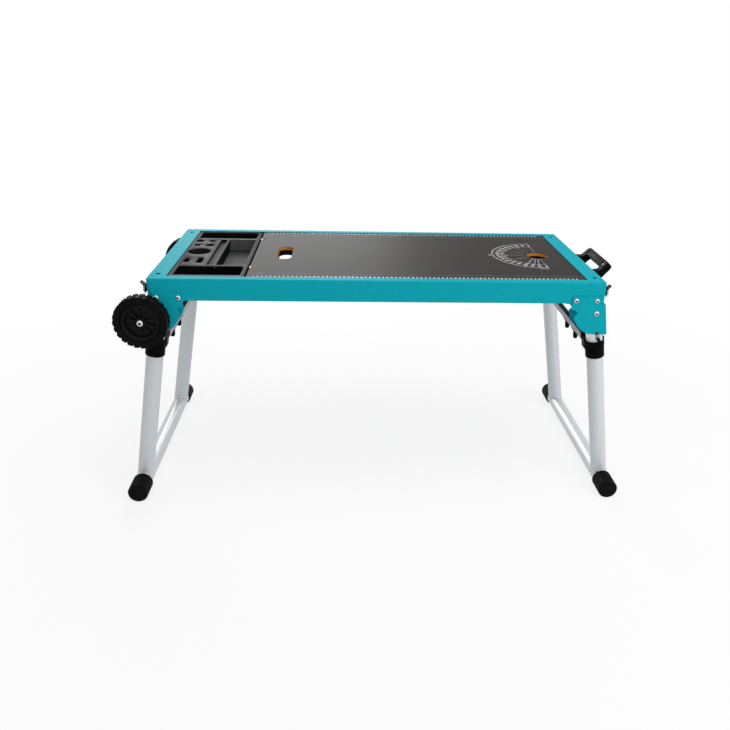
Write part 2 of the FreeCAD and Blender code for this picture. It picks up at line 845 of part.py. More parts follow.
def crossbar():
    """Channel open upwards between the collars."""
    half_y = inner_plate_y - bracket_sheet - bar_end_gap
    x0 = -bar_offset - bar_width / 2
    x1 = -bar_offset + bar_width / 2
    low = -bar_centre_drop - bar_height / 2
    top = low + bar_height
    channel = block(x0, x1, -half_y, half_y, low, top)
    channel = channel.makeFillet(bar_sheet, [e for e in channel.Edges if e.BoundBox.YLength > half_y
                                             and e.BoundBox.ZMax < top - bar_sheet])
    hollow = block(x0 + bar_sheet, x1 - bar_sheet, -half_y - overrun, half_y + overrun,
                   low + bar_sheet, top + overrun)
    return channel.cut(hollow)


def pull(y):
    """Finger pull under the crossbar: a flange and a grip that swells towards its rounded end."""
    top = -bar_centre_drop - bar_height / 2
    x = -bar_offset
    flange = rounded_box(x - bar_width / 2, x + bar_width / 2, y - pull_flange_width / 2,
                         y + pull_flange_width / 2, top - pull_flange, top, pull_flange)
    end_radius = pull_width / 2
    profile = [(0, 0), (pull_root / 2, 0), (end_radius, -pull_length + end_radius),
               (end_radius * math.cos(math.pi / 4), -pull_length + end_radius
                - end_radius * math.sin(math.pi / 4)), (0, -pull_length)]
    grip = turned([(r, top - pull_flange / 2 + h) for r, h in profile], vec(x, y, 0), Z)
    return fuse([flange, grip])


def lock_pin(sign):
    """Pin through the tube's slot, with a head outside the front plate and one inside."""
    outer_y = sign * (plate_face_y + notch_clearance + link_sheet)
    inner_y = sign * (inner_plate_y - bracket_sheet - notch_clearance)
    shank = rod_y(pin_radius, 0, -pin_rest, outer_y, inner_y)
    head = rod_y(pin_head_radius, 0, -pin_rest, outer_y, outer_y + sign * pin_head)
    tail = rod_y(pin_head_radius, 0, -pin_rest, inner_y, inner_y - sign * pin_head / 2)
    return fuse([shank, head, tail])


def pin_link(sign):
    """Strip that leans from the pin to the collar's pad."""
    near_y = sign * (plate_face_y + notch_clearance)
    far_y = near_y + sign * link_sheet
    top = -pin_rest
    low = -collar_start - collar_pad_height + link_width
    half = link_width / 2
    strip = prism_y([(-half, top), (half, top), (link_lean + half, low), (link_lean - half, low)],
                    near_y, far_y)
    ends = [rod_y(half, 0, top, near_y, far_y), rod_y(half, link_lean, low, near_y, far_y)]
    hole = rod_y(pin_radius, 0, top, near_y - sign * overrun, far_y + sign * overrun)
    return fuse([strip] + ends).cut(hole)


def releases():
    for side in ("left", "right"):
        for end, sign in (("front", -1), ("back", 1)):
            export(side + "_" + end + "_collar", [leaned(collar(sign), side)])
        export(side + "_crossbar", [leaned(crossbar(), side)])
        grips = [pull(-pull_from_middle), pull(-pull_from_middle - pull_spacing)]
        export(side + "_finger_pulls", [leaned(grip, side) for grip in grips])
        export(side + "_lock_pins", [leaned(lock_pin(sign), side) for sign in (-1, 1)])
        export(side + "_pin_links", [leaned(pin_link(sign), side) for sign in (-1, 1)])


# Wheels, drawn at the front and mirrored to the back


def tyre():
    """Solid tyre with two staggered rows of tread blocks parted by slanted grooves."""
    half = wheel_width / 2
    shoulder = tread_depth
    base = wheel_radius - tread_depth
    profile = [(rim_radius, -half + shoulder), (base, -half), (wheel_radius, -half + shoulder),
               (wheel_radius, half - shoulder), (base, half), (rim_radius, half - shoulder)]
    middle_y = -wheel_inner_y - half
    body = turned(profile, vec(wheel_x, middle_y, wheel_z), Y)
    pitch = 360 / tread_count
    cutters = []
    for row in (-1, 1):
        for i in range(tread_count):
            groove = block(wheel_x - tread_groove / 2, wheel_x + tread_groove / 2,
                           middle_y + row * tread_groove / 4,
                           middle_y + row * (half + overrun),
                           wheel_z + base, wheel_z + wheel_radius + overrun)
            groove.rotate(vec(wheel_x, middle_y, wheel_z + base), Z, row * pitch)
            groove.rotate(vec(wheel_x, middle_y, wheel_z), Y, pitch * (i + row / 4))
            cutters.append(groove)
    return body.cut(cutters)


def hub():
    """Dished hub: rim, web, boss and radial spokes on both faces."""
    half = wheel_width / 2 - tread_depth / 2
    inner = rim_radius - rim_lip
    profile = [(axle_radius + shaft_clearance, -half), (hub_boss_radius, -half),
               (hub_boss_radius, -hub_web / 2), (inner, -hub_web / 2), (inner, -half),
               (rim_radius, -half), (rim_radius, half), (inner, half), (inner, hub_web / 2),
               (hub_boss_radius, hub_web / 2), (hub_boss_radius, half),
               (axle_radius + shaft_clearance, half)]
    middle_y = -wheel_inner_y - wheel_width / 2
    body = turned(profile, vec(wheel_x, middle_y, wheel_z), Y)
    spokes = []
    for i in range(spoke_count):
        spoke = prism_x([(middle_y - half, wheel_z + hub_boss_radius - hub_web / 2),
                         (middle_y - half + hub_dish, wheel_z + inner + rim_lip / 2),
                         (middle_y + half - hub_dish, wheel_z + inner + rim_lip / 2),
                         (middle_y + half, wheel_z + hub_boss_radius - hub_web / 2)],
                        wheel_x - spoke_width / 2, wheel_x + spoke_width / 2)
        spoke.rotate(vec(wheel_x, middle_y, wheel_z), Y, 360 / spoke_count * i)
        spokes.append(spoke)
    return fuse([body] + spokes)


def axle():
    """Shoulder bolt: flange on the bracket's ear, shaft through the hub and a domed head."""
    face_y = -plate_face_y
    inner_y = -wheel_inner_y + tread_depth / 2 - shaft_clearance
    outer_y = -wheel_inner_y - wheel_width + tread_depth / 2 - shaft_clearance
    flange = rod_y(axle_flange_radius, wheel_x, wheel_z, inner_y + tread_depth, face_y)
    step = rod_y(hub_boss_radius - axle_radius / 2, wheel_x, wheel_z, inner_y, face_y)
    shaft = screw(axle_radius, axle_head_radius, axle_head, vec(wheel_x, outer_y, wheel_z), -Y,
                  face_y - outer_y)
    return fuse([flange, step, shaft])


def wheels():
    export("front_tyre", [tyre()])
    export("back_tyre", [mirrored_y(tyre())])
    export("front_hub", [hub()])
    export("back_hub", [mirrored_y(hub())])
    export("wheel_axles", [axle(), mirrored_y(axle())])


# Carrying handle on the right end wall


def handle_screw_places():
    """Four screws in the base flanges above and below the arms, in Y and Z."""
    middle = handle_top_z - handle_thickness / 2
    lift = handle_thickness / 2 + (handle_base_height - handle_thickness) / 4
    y = handle_root_half - handle_arm / 2
    return [(side * y, middle + up * lift) for side in (-1, 1) for up in (-1, 1)]


def handle_screw_shanks():
    return [rod(handle_screw_radius, vec(half_length - deck_sheet - overrun, y, z),
                vec(half_length + handle_base, y, z)) for y, z in handle_screw_places()]


def on_handle_slope(along, deep):
    """X and Z of a point of the handle's sloped part: along its top from the bend, and below it."""
    slope = math.radians(handle_slope_deg)
    x = half_length + handle_level + along * math.cos(slope) + deep * math.sin(slope)
    return x, handle_top_z + along * math.sin(slope) - deep * math.cos(slope)


def handle_plan(inset):
    """Seen from above: sides that draw in from the wall to the tip, moved inwards by an inset."""
    tip_x = on_handle_slope(handle_slope_length, handle_thickness)[0]
    root = handle_root_half - inset
    tip = handle_tip_half - inset
    plan = [(half_length, root), (tip_x, tip), (tip_x, -tip), (half_length, -root)]
    return prism([vec(x, y, apron_bottom_z) for x, y in plan], Z * deck_width)


def handle_arms():
    """Two arms that leave the wall level, bend upwards and draw in towards the grip."""
    tip_top = on_handle_slope(handle_slope_length, 0)
    tip_low = on_handle_slope(handle_slope_length, handle_thickness)
    bend_x = half_length + handle_level
    low_z = handle_top_z - handle_thickness
    bend_low = bend_x + handle_thickness * math.tan(math.radians(handle_slope_deg) / 2)
    side = [(half_length, handle_top_z), (bend_x, handle_top_z), tip_top, tip_low,
            (bend_low, low_z), (half_length, low_z)]
    body = prism_y(side, -handle_root_half, handle_root_half)
    bends = [e for e in body.Edges if runs_along(e, Y)
             and bend_x - handle_edge < e.BoundBox.Center.x < bend_low + handle_edge]
    body = body.makeFillet(handle_bend_radius, bends)
    return body.common(handle_plan(0)).cut(handle_plan(handle_arm))


def handle_grip_bar():
    """Bar between the arms, square to their slope, drawn in as they are."""
    section = [on_handle_slope(handle_slope_length - handle_grip, 0),
               on_handle_slope(handle_slope_length, 0),
               on_handle_slope(handle_slope_length, handle_thickness),
               on_handle_slope(handle_slope_length - handle_grip, handle_thickness)]
    bar = prism_y(section, -handle_root_half, handle_root_half)
    return bar.common(handle_plan(0))


def handle_recess_cutter():
    """Shallow rounded pocket in the top of the grip."""
    depth = handle_recess
    half = handle_tip_half - handle_arm / 2
    pocket = rounded_box(handle_slope_length - handle_grip + handle_recess_margin,
                         handle_slope_length - handle_recess_margin, -half, half,
                         -depth, overrun, handle_window_corner)
    pocket.rotate(O, Y, -handle_slope_deg)
    pocket.translate(vec(half_length + handle_level, 0, handle_top_z))
    return pocket


def runs_along(edge, direction):
    ends = [v.Point for v in edge.Vertexes]
    if len(ends) < 2:
        return False
    return abs((ends[1] - ends[0]).normalize().dot(direction)) > nearly_one_share


def handle():
    """Moulded loop: arms, grip with rounded corners and edges, a recess and base flanges."""
    slope = math.radians(handle_slope_deg)
    through = vec(-math.sin(slope), 0, math.cos(slope))
    loop = fuse([handle_arms(), handle_grip_bar()])
    tip_y = handle_tip_half - handle_arm / 2
    corners = [e for e in loop.Edges if runs_along(e, through)]
    loop = loop.makeFillet(handle_corner, [e for e in corners if abs(e.BoundBox.Center.y) > tip_y])
    corners = [e for e in loop.Edges if runs_along(e, through)]
    loop = loop.makeFillet(handle_window_corner,
                           [e for e in corners if abs(e.BoundBox.Center.y) < tip_y])
    rim = [e for e in loop.Edges if e.BoundBox.XMax > half_length + handle_edge
           and not runs_along(e, through)]
    inside = handle_root_half - handle_arm / 2
    rim = [e for e in rim if e.BoundBox.XLength > handle_edge or e.BoundBox.YLength > inside]
    loop = loop.makeFillet(handle_edge, rim)
    loop = loop.cut(handle_recess_cutter())
    parts = [loop]
    middle = handle_top_z - handle_thickness / 2
    for sign in (-1, 1):
        parts.append(block(half_length, half_length + handle_base, sign * handle_root_half,
                           sign * (handle_root_half - handle_arm), middle - handle_base_height / 2,
                           middle + handle_base_height / 2))
    return fuse(parts)


def handle_set():
    grip = handle()
    screws = []
    for y, z in handle_screw_places():
        screws.append(screw(handle_screw_radius, handle_screw_head_radius, handle_screw_head,
                            vec(half_length + handle_base, y, z), X,
                            handle_base + deck_sheet * 2))
    shanks = [rod(handle_screw_radius, vec(half_length - deck_sheet, y, z),
                  vec(half_length + handle_base, y, z)) for y, z in handle_screw_places()]
    export("carry_handle", [grip.cut(shanks)])
    export("handle_screws", screws)


# Draw latches, drawn on the right end wall near the front


def latch_rivets(side):
    """Rivets through the base and the end wall."""
    z = table_height - latch_drop
    rivets = []
    for dz in (1, -1):
        at = vec(half_length - deck_sheet, latch_y,
                 z + latch_height / 2 - rivet_radius * 2 if dz > 0 else z)
        rivet = rod(rivet_radius, at, at + X * (deck_sheet + latch_sheet))
        rivets.append(mirrored_x(rivet) if side == "left" else rivet)
    return rivets


def latch_pivot():
    z = table_height - latch_drop - latch_height / 2 + latch_pivot_rise
    return vec(half_length + latch_standoff, latch_y, z)


def latch_base():
    """Plate on the end wall with two ears that hang from above, the lever's pin and rivet heads."""
    pivot = latch_pivot()
    z = table_height - latch_drop
    y0 = pivot.y - latch_width / 2
    y1 = pivot.y + latch_width / 2
    plate = block(half_length, half_length + latch_sheet, y0, y1, z - latch_height / 2,
                  z + latch_height / 2)
    parts = [plate]
    ear_y = latch_lever_width / 2 + slide_clearance
    lean = math.radians(latch_ear_lean_deg)
    web = [(pivot.x, pivot.z + latch_ear_radius),
           (pivot.x - latch_ear_radius * math.sin(lean), pivot.z + latch_ear_radius * math.cos(lean)),
           (half_length, pivot.z + latch_standoff),
           (half_length, pivot.z + latch_standoff + latch_ear_radius)]
    for sign in (-1, 1):
        near = pivot.y + sign * ear_y
        far = near + sign * latch_sheet
        parts.append(rod_y(latch_ear_radius, pivot.x, pivot.z, near, far))
        parts.append(prism_y(web, near, far))
    parts.append(rod_y(latch_pin_radius, pivot.x, pivot.z, pivot.y - ear_y - latch_sheet,
                       pivot.y + ear_y + latch_sheet))
    body = fuse(parts)
    heads = []
    for rivet in latch_rivets("right"):
        at = vec(half_length + latch_sheet, rivet.BoundBox.Center.y, rivet.BoundBox.Center.z)
        heads.append(rod(rivet_radius * 1.5, at, at + X * rivet_head))
    return fuse([body] + latch_rivets("right") + heads)


def latch_lever():
    """Lever along the wall with a barrel on the pin, a hole for the bail and an out-turned lip."""
    pivot = latch_pivot()
    half = latch_lever_width / 2
    y0 = pivot.y - half
    y1 = pivot.y + half
    barrel = rod_y(latch_ear_radius - slide_clearance, pivot.x, pivot.z, y0, y1)
    front_x = pivot.x + latch_ear_radius - slide_clearance
    back_x = front_x - latch_lever_sheet
    tip_z = pivot.z + latch_lever_length
    strap = prism_y([(back_x, pivot.z), (front_x, pivot.z),
                     (front_x, tip_z - latch_lip - latch_lever_sheet),
                     (front_x + latch_lip, tip_z - latch_lever_sheet),
                     (front_x + latch_lip, tip_z),
                     (back_x, tip_z - latch_lip)], y0, y1)
    eye = rod_y(bail_radius + latch_lever_sheet, pivot.x, pivot.z + bail_pivot_rise, y0, y1)
    neck = block(back_x, pivot.x, y0, y1, pivot.z + bail_pivot_rise - bail_radius * 2,
                 pivot.z + bail_pivot_rise + bail_radius * 2)
    pin_hole = rod_y(latch_pin_radius + shaft_clearance, pivot.x, pivot.z, y0 - overrun,
                     y1 + overrun)
    bail_hole = rod_y(bail_radius + shaft_clearance, pivot.x, pivot.z + bail_pivot_rise,
                      y0 - overrun, y1 + overrun)
    return fuse([barrel, strap, eye, neck]).cut([pin_hole, bail_hole])


def latch_bail():
    """Closed wire loop that hangs from the lever."""
    half = latch_width / 2
    corners = [vec(0, -half, 0), vec(0, half, 0), vec(0, half, -bail_arm), vec(0, -half, -bail_arm)]
    parts = []
    for i, corner in enumerate(corners):
        following = corners[(i + 1) % len(corners)]
        parts.append(rod(bail_radius, corner, following))
        parts.append(Part.makeSphere(bail_radius, corner))
    loop = fuse(parts)
    loop.translate(latch_pivot() + Z * bail_pivot_rise)
    return loop


def latches():
    for side in ("left", "right"):
        for name, shape in (("base", latch_base()), ("lever", latch_lever()),
                            ("bail", latch_bail())):
            export(side + "_latch_" + name, [mirrored_x(shape) if side == "left" else shape])


def brackets():
    for side in ("left", "right"):
        for end in ("front", "back"):
            export(side + "_" + end + "_bracket", [to_corner(bracket(side == "left"), side, end)])


def main():
    os.makedirs("parts", exist_ok=True)
    deck_rails()
    cross_members()
    board_screws()
    worktop()
    seam_clips()
    tool_tray()
    brackets()
    bracket_fasteners()
    leg_frames()
    releases()
    wheels()
    handle_set()
    latches()


main()
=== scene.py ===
"""Looks of a folding work table: finishes, printed scales, wheels, screws, welds and a studio around its solids."""

import math
from functools import partial

import bmesh
import bpy
from bpy.props import FloatProperty, FloatVectorProperty, IntProperty, PointerProperty
from mathutils import Matrix, Vector


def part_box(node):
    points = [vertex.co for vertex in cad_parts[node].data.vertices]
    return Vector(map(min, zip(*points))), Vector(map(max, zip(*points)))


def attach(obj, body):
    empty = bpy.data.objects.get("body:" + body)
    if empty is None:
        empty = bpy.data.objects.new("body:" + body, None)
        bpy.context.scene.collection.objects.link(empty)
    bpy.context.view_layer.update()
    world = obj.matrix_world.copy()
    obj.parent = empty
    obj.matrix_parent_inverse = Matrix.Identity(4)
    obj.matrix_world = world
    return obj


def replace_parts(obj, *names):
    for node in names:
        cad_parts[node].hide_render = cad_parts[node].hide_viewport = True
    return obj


bl_info = {
    "name": "Folding Work Table",
    "version": (1, 0, 0),
    "blender": (4, 5, 0),
    "location": "3D View > Sidebar > Work Table",
    "description": "Finishes, printed scales, wheels, screws and welds of a folding work table",
    "category": "Object",
}

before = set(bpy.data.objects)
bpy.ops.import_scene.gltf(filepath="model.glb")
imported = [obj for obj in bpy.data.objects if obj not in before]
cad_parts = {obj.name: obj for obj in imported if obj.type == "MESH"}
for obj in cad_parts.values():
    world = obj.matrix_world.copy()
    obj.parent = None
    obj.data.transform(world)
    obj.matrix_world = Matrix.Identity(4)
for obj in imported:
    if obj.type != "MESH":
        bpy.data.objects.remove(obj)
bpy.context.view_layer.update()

MM = 0.001
LONG_SIDES = (("front", -1), ("back", 1))
ENDS = ("left", "right")


def linear(code):
    """Linear red, green and blue of an sRGB hex colour."""
    parts = [int(code[i:i + 2], 16) / 255 for i in (1, 3, 5)]
    return tuple(p / 12.92 if p <= 0.04045 else ((p + 0.055) / 1.055) ** 2.4 for p in parts)


def colour(name, description, code):
    """Colour property with its sRGB hex default."""
    return FloatVectorProperty(name=name, description=description, subtype="COLOR", size=3,
                               min=0, max=1, default=linear(code))


def length(name, description, size):
    """Length property in metres with its default in millimetres."""
    return FloatProperty(name=name, description=description, unit="LENGTH", min=0, precision=5,
                         default=size * MM)


def power(name, description, watts):
    """Lamp power property in watts."""
    return FloatProperty(name=name, description=description, unit="POWER", min=0, default=watts)


class WorkTableColours(bpy.types.PropertyGroup):
    """Colours of the table's finishes."""

    paint: colour("Paint", "Powder coat of the deck and its brackets", "#12A3B2")
    tube_paint: colour("Tube paint", "Powder coat of the legs and feet", "#CFD4D8")
    bar_paint: colour("Bar paint", "Powder coat of the crossbars", "#80888E")
    laminate: colour("Laminate", "Face of the worktop", "#252321")
    fibreboard: colour("Fibreboard", "Cut edges of the worktop", "#C07A33")
    tray: colour("Tray", "Moulded tool tray", "#222323")
    plastic: colour("Plastic", "Handle, collars and pulls", "#0B0B0C")
    rubber: colour("Rubber", "Tyres and foot caps", "#0C0C0D")
    print_ink: colour("Print", "Printed scales", "#E2E4E4")
    zinc: colour("Zinc", "Plated screws and clips", "#C9CACB")


class WorkTableScales(bpy.types.PropertyGroup):
    """Sizes of the printed rules and the protractor."""

    rule_inset: length("Rule inset", "From the opening's edge to the ticks' ends", 3.2)
    tick_pitch: length("Tick pitch", "Distance between two ticks", 2.0)
    tick_length: length("Tick length", "Length of a short tick", 2.2)
    ink_width: length("Line width", "Width of a printed line", 1.0)
    number_height: length("Number height", "Height of the printed numbers", 7.0)
    outer_radius: length("Outer arc", "Radius of the protractor's outer arc", 120.0)
    inner_radius: length("Inner arc", "Radius of the protractor's inner arc", 88.0)


class WorkTableWheels(bpy.types.PropertyGroup):
    """Sizes of the wheels' tread and discs, and of the foot caps' ribs."""

    lug_count: IntProperty(name="Lugs", description="Tread blocks on each shoulder", min=8, default=24)
    lug_height: length("Lug height", "How far a tread block stands out", 2.2)
    lug_slant: FloatProperty(name="Lug slant", description="Turn of each tread block", subtype="ANGLE",
                             default=math.radians(22))
    rib_count: IntProperty(name="Ribs", description="Radial ribs of the disc", min=3, default=10)
    rib_width: length("Rib width", "Width of a rib at the boss", 5.0)
    cap_ribs: IntProperty(name="Cap ribs", description="Ribs round each foot cap", min=8, default=48)


class WorkTableStudio(bpy.types.PropertyGroup):
    """Light and floor of the studio."""

    floor: colour("Floor", "Floor and backdrop", "#F0F0F0")
    key_power: power("Key lamp", "Power of the large lamp overhead", 33)
    side_power: power("Side lamp", "Power of the lamp at the back left", 34)
    fill_power: power("Fill lamp", "Power of the lamp near the camera", 24)
    sky: FloatProperty(name="Sky", description="Light that comes from all round", min=0, default=0.42)


# Finishes. Grains are (feature size in mm, detail, stretch), and reliefs are (depth in mm, edge radius in mm).

def fill(tree, socket, value):
    """Links an input to another node's output, or sets its value."""
    if isinstance(value, bpy.types.NodeSocket):
        tree.links.new(value, socket)
    else:
        socket.default_value = value


def put(thing, **values):
    """Sets values on a thing, and returns it."""
    for name, value in values.items():
        setattr(thing, name, value)
    return thing


def add(tree, kind, inputs=None, **settings):
    """Adds a shader node, sets it, and links or fills its inputs."""
    made = put(tree.nodes.new(kind), **settings)
    for name, value in (inputs or {}).items():
        fill(tree, made.inputs[name], value)
    return made


def set_inputs(tree, shader, **values):
    """Sets or links the shader's inputs, with spaces for underscores."""
    for name, value in values.items():
        fill(tree, shader.inputs[name.replace("_", " ")], value)


def shade(value, factor=1.0):
    """A lighter or darker version of a colour, with four channels."""
    return (*[min(1, channel * factor) for channel in value], 1)


def blank_finish(name):
    """New material with only a principled shader and object coordinates."""
    made = bpy.data.materials.new(name)
    made.use_nodes = True
    tree = made.node_tree
    return made, tree, tree.nodes["Principled BSDF"], add(tree, "ShaderNodeTexCoord").outputs["Object"]


def grain(tree, place, size_mm, detail=2.0, stretch=(1, 1, 1)):
    """Noise whose features are about size_mm apart, drawn out along the small numbers of stretch."""
    spread = add(tree, "ShaderNodeMapping", {"Vector": place, "Scale": stretch}).outputs["Vector"]
    return add(tree, "ShaderNodeTexNoise", {"Vector": spread, "Scale": 1 / (size_mm * MM), "Detail": detail,
                                            "Roughness": 0.55}).outputs["Fac"]


def range_by(tree, fac, low, high, span=(0.3, 0.7)):
    """Number that goes from low to high as fac crosses the span."""
    return add(tree, "ShaderNodeMapRange", {"Value": fac, "From Min": span[0], "From Max": span[1], "To Min": low,
                                            "To Max": high}).outputs["Result"]


def blend_by(tree, fac, low, high, span=(0.3, 0.7)):
    """Colour that goes from low to high as fac crosses the span."""
    # The Mix node's colours are its inputs 6 and 7 and its output 2.
    return add(tree, "ShaderNodeMix", {"Factor": range_by(tree, fac, 0, 1, span), 6: low, 7: high},
               data_type="RGBA").outputs[2]


def above(tree, place, level):
    """One over a height in metres, and nought under it."""
    height = add(tree, "ShaderNodeSeparateXYZ", {"Vector": place}).outputs["Z"]
    return add(tree, "ShaderNodeMath", {0: height, 1: level}, operation="GREATER_THAN").outputs[0]


def ripple(tree, shader, fac, depth_mm, edge_mm=0.5):
    """Raises the surface by depth_mm where fac is high, and rounds its edges to the eye by edge_mm."""
    edge = add(tree, "ShaderNodeBevel", {"Radius": edge_mm * MM}, samples=4).outputs["Normal"]
    bump = add(tree, "ShaderNodeBump", {"Height": fac, "Distance": depth_mm * MM, "Strength": 1.0, "Normal": edge})
    tree.links.new(bump.outputs["Normal"], shader.inputs["Normal"])


def colours():
    """The colour settings of the scene."""
    return bpy.context.scene.work_table_colours


def coat(name, base, speckle, shades, rough, wear=None, bumps=None, relief=(), **fixed):
    """Finish whose colour goes between two shades of its base with one grain, and its roughness with another.

    speckle, wear and bumps are the grains of colour, roughness and relief. Without wear, the roughness follows
    speckle. A single number is the roughness all over.
    """
    made, tree, shader, place = blank_finish(name)
    low, high = [shade(getattr(colours(), base), factor) for factor in shades]
    if not isinstance(rough, float):
        rough = range_by(tree, grain(tree, place, *(wear or speckle)), *rough)
    set_inputs(tree, shader, Base_Color=blend_by(tree, grain(tree, place, *speckle), low, high), Roughness=rough,
               **fixed)
    if bumps:
        ripple(tree, shader, grain(tree, place, *bumps), *relief)
    return made


def tray_plastic(name, shades, gloss):
    """Moulded polypropylene with a spark-eroded grain, drawn at 1.2 mm: dull."""
    return coat(name, "tray", (30, 4), shades, (0.42, 0.56), wear=(1.2, 3), bumps=(1.2, 3), relief=(0.06, 0.7),
                Specular_IOR_Level=gloss)


def leg_powder(name):
    """Silver powder, left off the plated top of the tube where the collar slides: brighter and harder there."""
    made, tree, shader, place = blank_finish(name)
    paint, plate = colours().tube_paint, colours().zinc
    bare = above(tree, place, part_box("right_front_collar")[1].z - 4 * MM)
    flake = grain(tree, place, 1.6)
    powder = blend_by(tree, flake, shade(paint, 0.92), shade(paint, 1.06))
    set_inputs(tree, shader, Base_Color=blend_by(tree, bare, powder, shade(plate, 1.15), (0, 1)),
               Metallic=range_by(tree, bare, 0.3, 0.75, (0, 1)), Roughness=range_by(tree, bare, 0.55, 0.24, (0, 1)))
    ripple(tree, shader, flake, 0.02)
    return made


def melamine(name):
    """Laminate on fibreboard: dark, faintly mottled gloss on the faces and warm fibre at the cuts."""
    made, tree, shader, place = blank_finish(name)
    lowest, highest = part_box("worktop_board")
    cut = add(tree, "ShaderNodeMath", {0: above(tree, place, lowest.z + 0.3 * MM),
                                       1: above(tree, place, highest.z - 0.9 * MM)}, operation="SUBTRACT").outputs[0]
    face, fibre = colours().laminate, colours().fibreboard
    mottled = blend_by(tree, grain(tree, place, 2.2, 4), shade(face, 0.86), shade(face, 1.16))
    fibres = blend_by(tree, grain(tree, place, 1.1, 4, (1, 1, 3)), shade(fibre, 0.72), shade(fibre, 1.18))
    set_inputs(tree, shader, Base_Color=blend_by(tree, cut, mottled, fibres, (0, 1)),
               Roughness=range_by(tree, cut, 0.52, 0.85, (0, 1)), Specular_IOR_Level=0.05)
    ripple(tree, shader, grain(tree, place, 1.4, 3), 0.04)
    return made


def printed_ink(name):
    """Screen-printed ink: thin pale grey, a little worn where the board shows through."""
    made, tree, shader, place = blank_finish(name)
    worn = grain(tree, place, 3.0, 4)
    ink = blend_by(tree, worn, shade(colours().laminate, 2.2), shade(colours().print_ink), (0.28, 0.44))
    set_inputs(tree, shader, Base_Color=ink, Roughness=range_by(tree, worn, 0.5, 0.4))
    return made


FINISHES = {
    # Polyester powder on steel sheet: satin gloss with the speckle and ripple of orange peel, drawn at 4 mm.
    "teal_paint": partial(coat, "teal_powder_coat", "paint", (4, 3), (0.9, 1.1), (0.38, 0.46), wear=(12,),
                          bumps=(4, 3), relief=(0.06, 1.4), Specular_IOR_Level=0.008),
    # Silver-grey powder with fine metal flake: a broad soft highlight along each tube.
    "grey_paint": partial(coat, "silver_powder_coat", "tube_paint", (1.6,), (0.92, 1.06), (0.36, 0.44), wear=(20,),
                          bumps=(1.6,), relief=(0.02,), Metallic=0.35),
    # A darker grey of the same powder on the crossbars.
    "bar_paint": partial(coat, "dark_powder_coat", "bar_paint", (1.6,), (0.9, 1.1), (0.36, 0.46), wear=(20,),
                         bumps=(1.6,), relief=(0.02,), Metallic=0.3),
    "leg_paint": partial(leg_powder, "leg_powder_coat"),
    "board": partial(melamine, "melamine_board"),
    "print_ink": partial(printed_ink, "screen_print"),
    # Fibreboard where the laminate is cut through: warm, matt and fibrous.
    "fibre": partial(coat, "raw_fibreboard", "fibreboard", (1.1, 4), (0.7, 1.1), 0.85, Specular_IOR_Level=0.1),
    # The tray's plastic: dark on its face, with painted shade that makes the pockets' walls, and the floors of the
    # troughs and small pockets, nearly black, and paler on the bin's floor.
    "tray": partial(tray_plastic, "tray_polypropylene", (0.9, 1.1), 0.02),
    # Painted shade: the same plastic made nearly black for the pockets' walls and deep floors.
    "tray_wall": partial(tray_plastic, "drawn_polypropylene", (0.2, 0.35), 0.01),
    # The same plastic made paler for the bin's floor.
    "tray_worn": partial(tray_plastic, "worn_polypropylene", (2.1, 2.8), 0.03),
    # Black glass-filled nylon: satin, with a fine moulded texture that breaks the highlight.
    "black_plastic": partial(coat, "satin_nylon", "plastic", (25,), (0.85, 1.3), (0.3, 0.42), wear=(1.0, 3),
                             bumps=(1.0, 3), relief=(0.05,), Specular_IOR_Level=0.015),
    # Black nylon of the wheel discs, polished on its raised edges: a tighter, brighter highlight.
    "hub": partial(coat, "glossy_nylon", "plastic", (12,), (0.8, 1.2), (0.24, 0.34), wear=(4,), bumps=(1.0, 3),
                   relief=(0.03, 0.8), Specular_IOR_Level=0.09),
    # Moulded rubber: near black, very dull, with a dusty grey bloom.
    "rubber": partial(coat, "moulded_rubber", "rubber", (14, 4), (0.8, 1.5), (0.42, 0.56), bumps=(0.9, 3),
                      relief=(0.05,), Specular_IOR_Level=0.045),
    # Black coat on small steel stampings: smooth, with a tight highlight.
    "black_steel": partial(coat, "black_electrocoat", "plastic", (8,), (0.9, 1.4), (0.3, 0.4), wear=(3,),
                           bumps=(3,), relief=(0.02,), Specular_IOR_Level=0.03),
    # Zinc plate on steel: bright, faintly clouded metal with fine drawing lines.
    "zinc_steel": partial(coat, "bright_zinc", "zinc", (4, 3), (0.86, 1.1), (0.16, 0.28),
                          bumps=(0.7, 2, (1, 1, 0.2)), relief=(0.008,), Metallic=1.0),
    # Older, greyer zinc on the small clips and the lock pins.
    "clip": partial(coat, "dull_zinc", "bar_paint", (3, 3), (0.8, 1.3), (0.34, 0.5), Metallic=0.8),
    # Driver recess of a screw: painted shade, dark steel that stands in for the shadow inside the recess.
    "recess": partial(coat, "recess_shadow", "plastic", (2,), (1.5, 4), 0.6, Metallic=0.2, Specular_IOR_Level=0.1),
    # Bare weld under clear coat: bright, rippled and a little heat-stained.
    "weld": partial(coat, "weld_steel", "tube_paint", (6, 3), (0.8, 1.25), (0.24, 0.4), bumps=(2.2, 2),
                    relief=(0.12,), Metallic=0.6),
}
FINISHES["liner"] = FINISHES["black_plastic"]


def finish(slot):
    """The material of a slot, made at its first use."""
    make = FINISHES[slot]
    return bpy.data.materials.get(make.args[0]) or make()


def dress(slot, names):
    """Gives CAD nodes the finish of a slot. {end} and {side} in their names stand for each end and side."""
    nodes = {name for end in ENDS for side, _ in LONG_SIDES for name in names.format(end=end, side=side).split()}
    for node in sorted(nodes):
        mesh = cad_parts[node].data
        mesh.materials.clear()
        mesh.materials.append(finish(slot))


# Shapes, worked out in millimetres.

X, Y, Z = Vector((1, 0, 0)), Vector((0, 1, 0)), Vector((0, 0, 1))
INK_MM = 0.08
# Finishes of pieces that have more than one, in the order of their faces' material numbers.
SCREW_FINISHES = "zinc_steel recess"
# The tray's second finish is painted shade for its pockets; its third is the paler plastic of the bin's floor.
TRAY_FINISHES = "tray tray_wall tray_worn"
TRAY_FACE, TRAY_PAINTED_SHADE, TRAY_PALE_FLOOR = 0, 1, 2


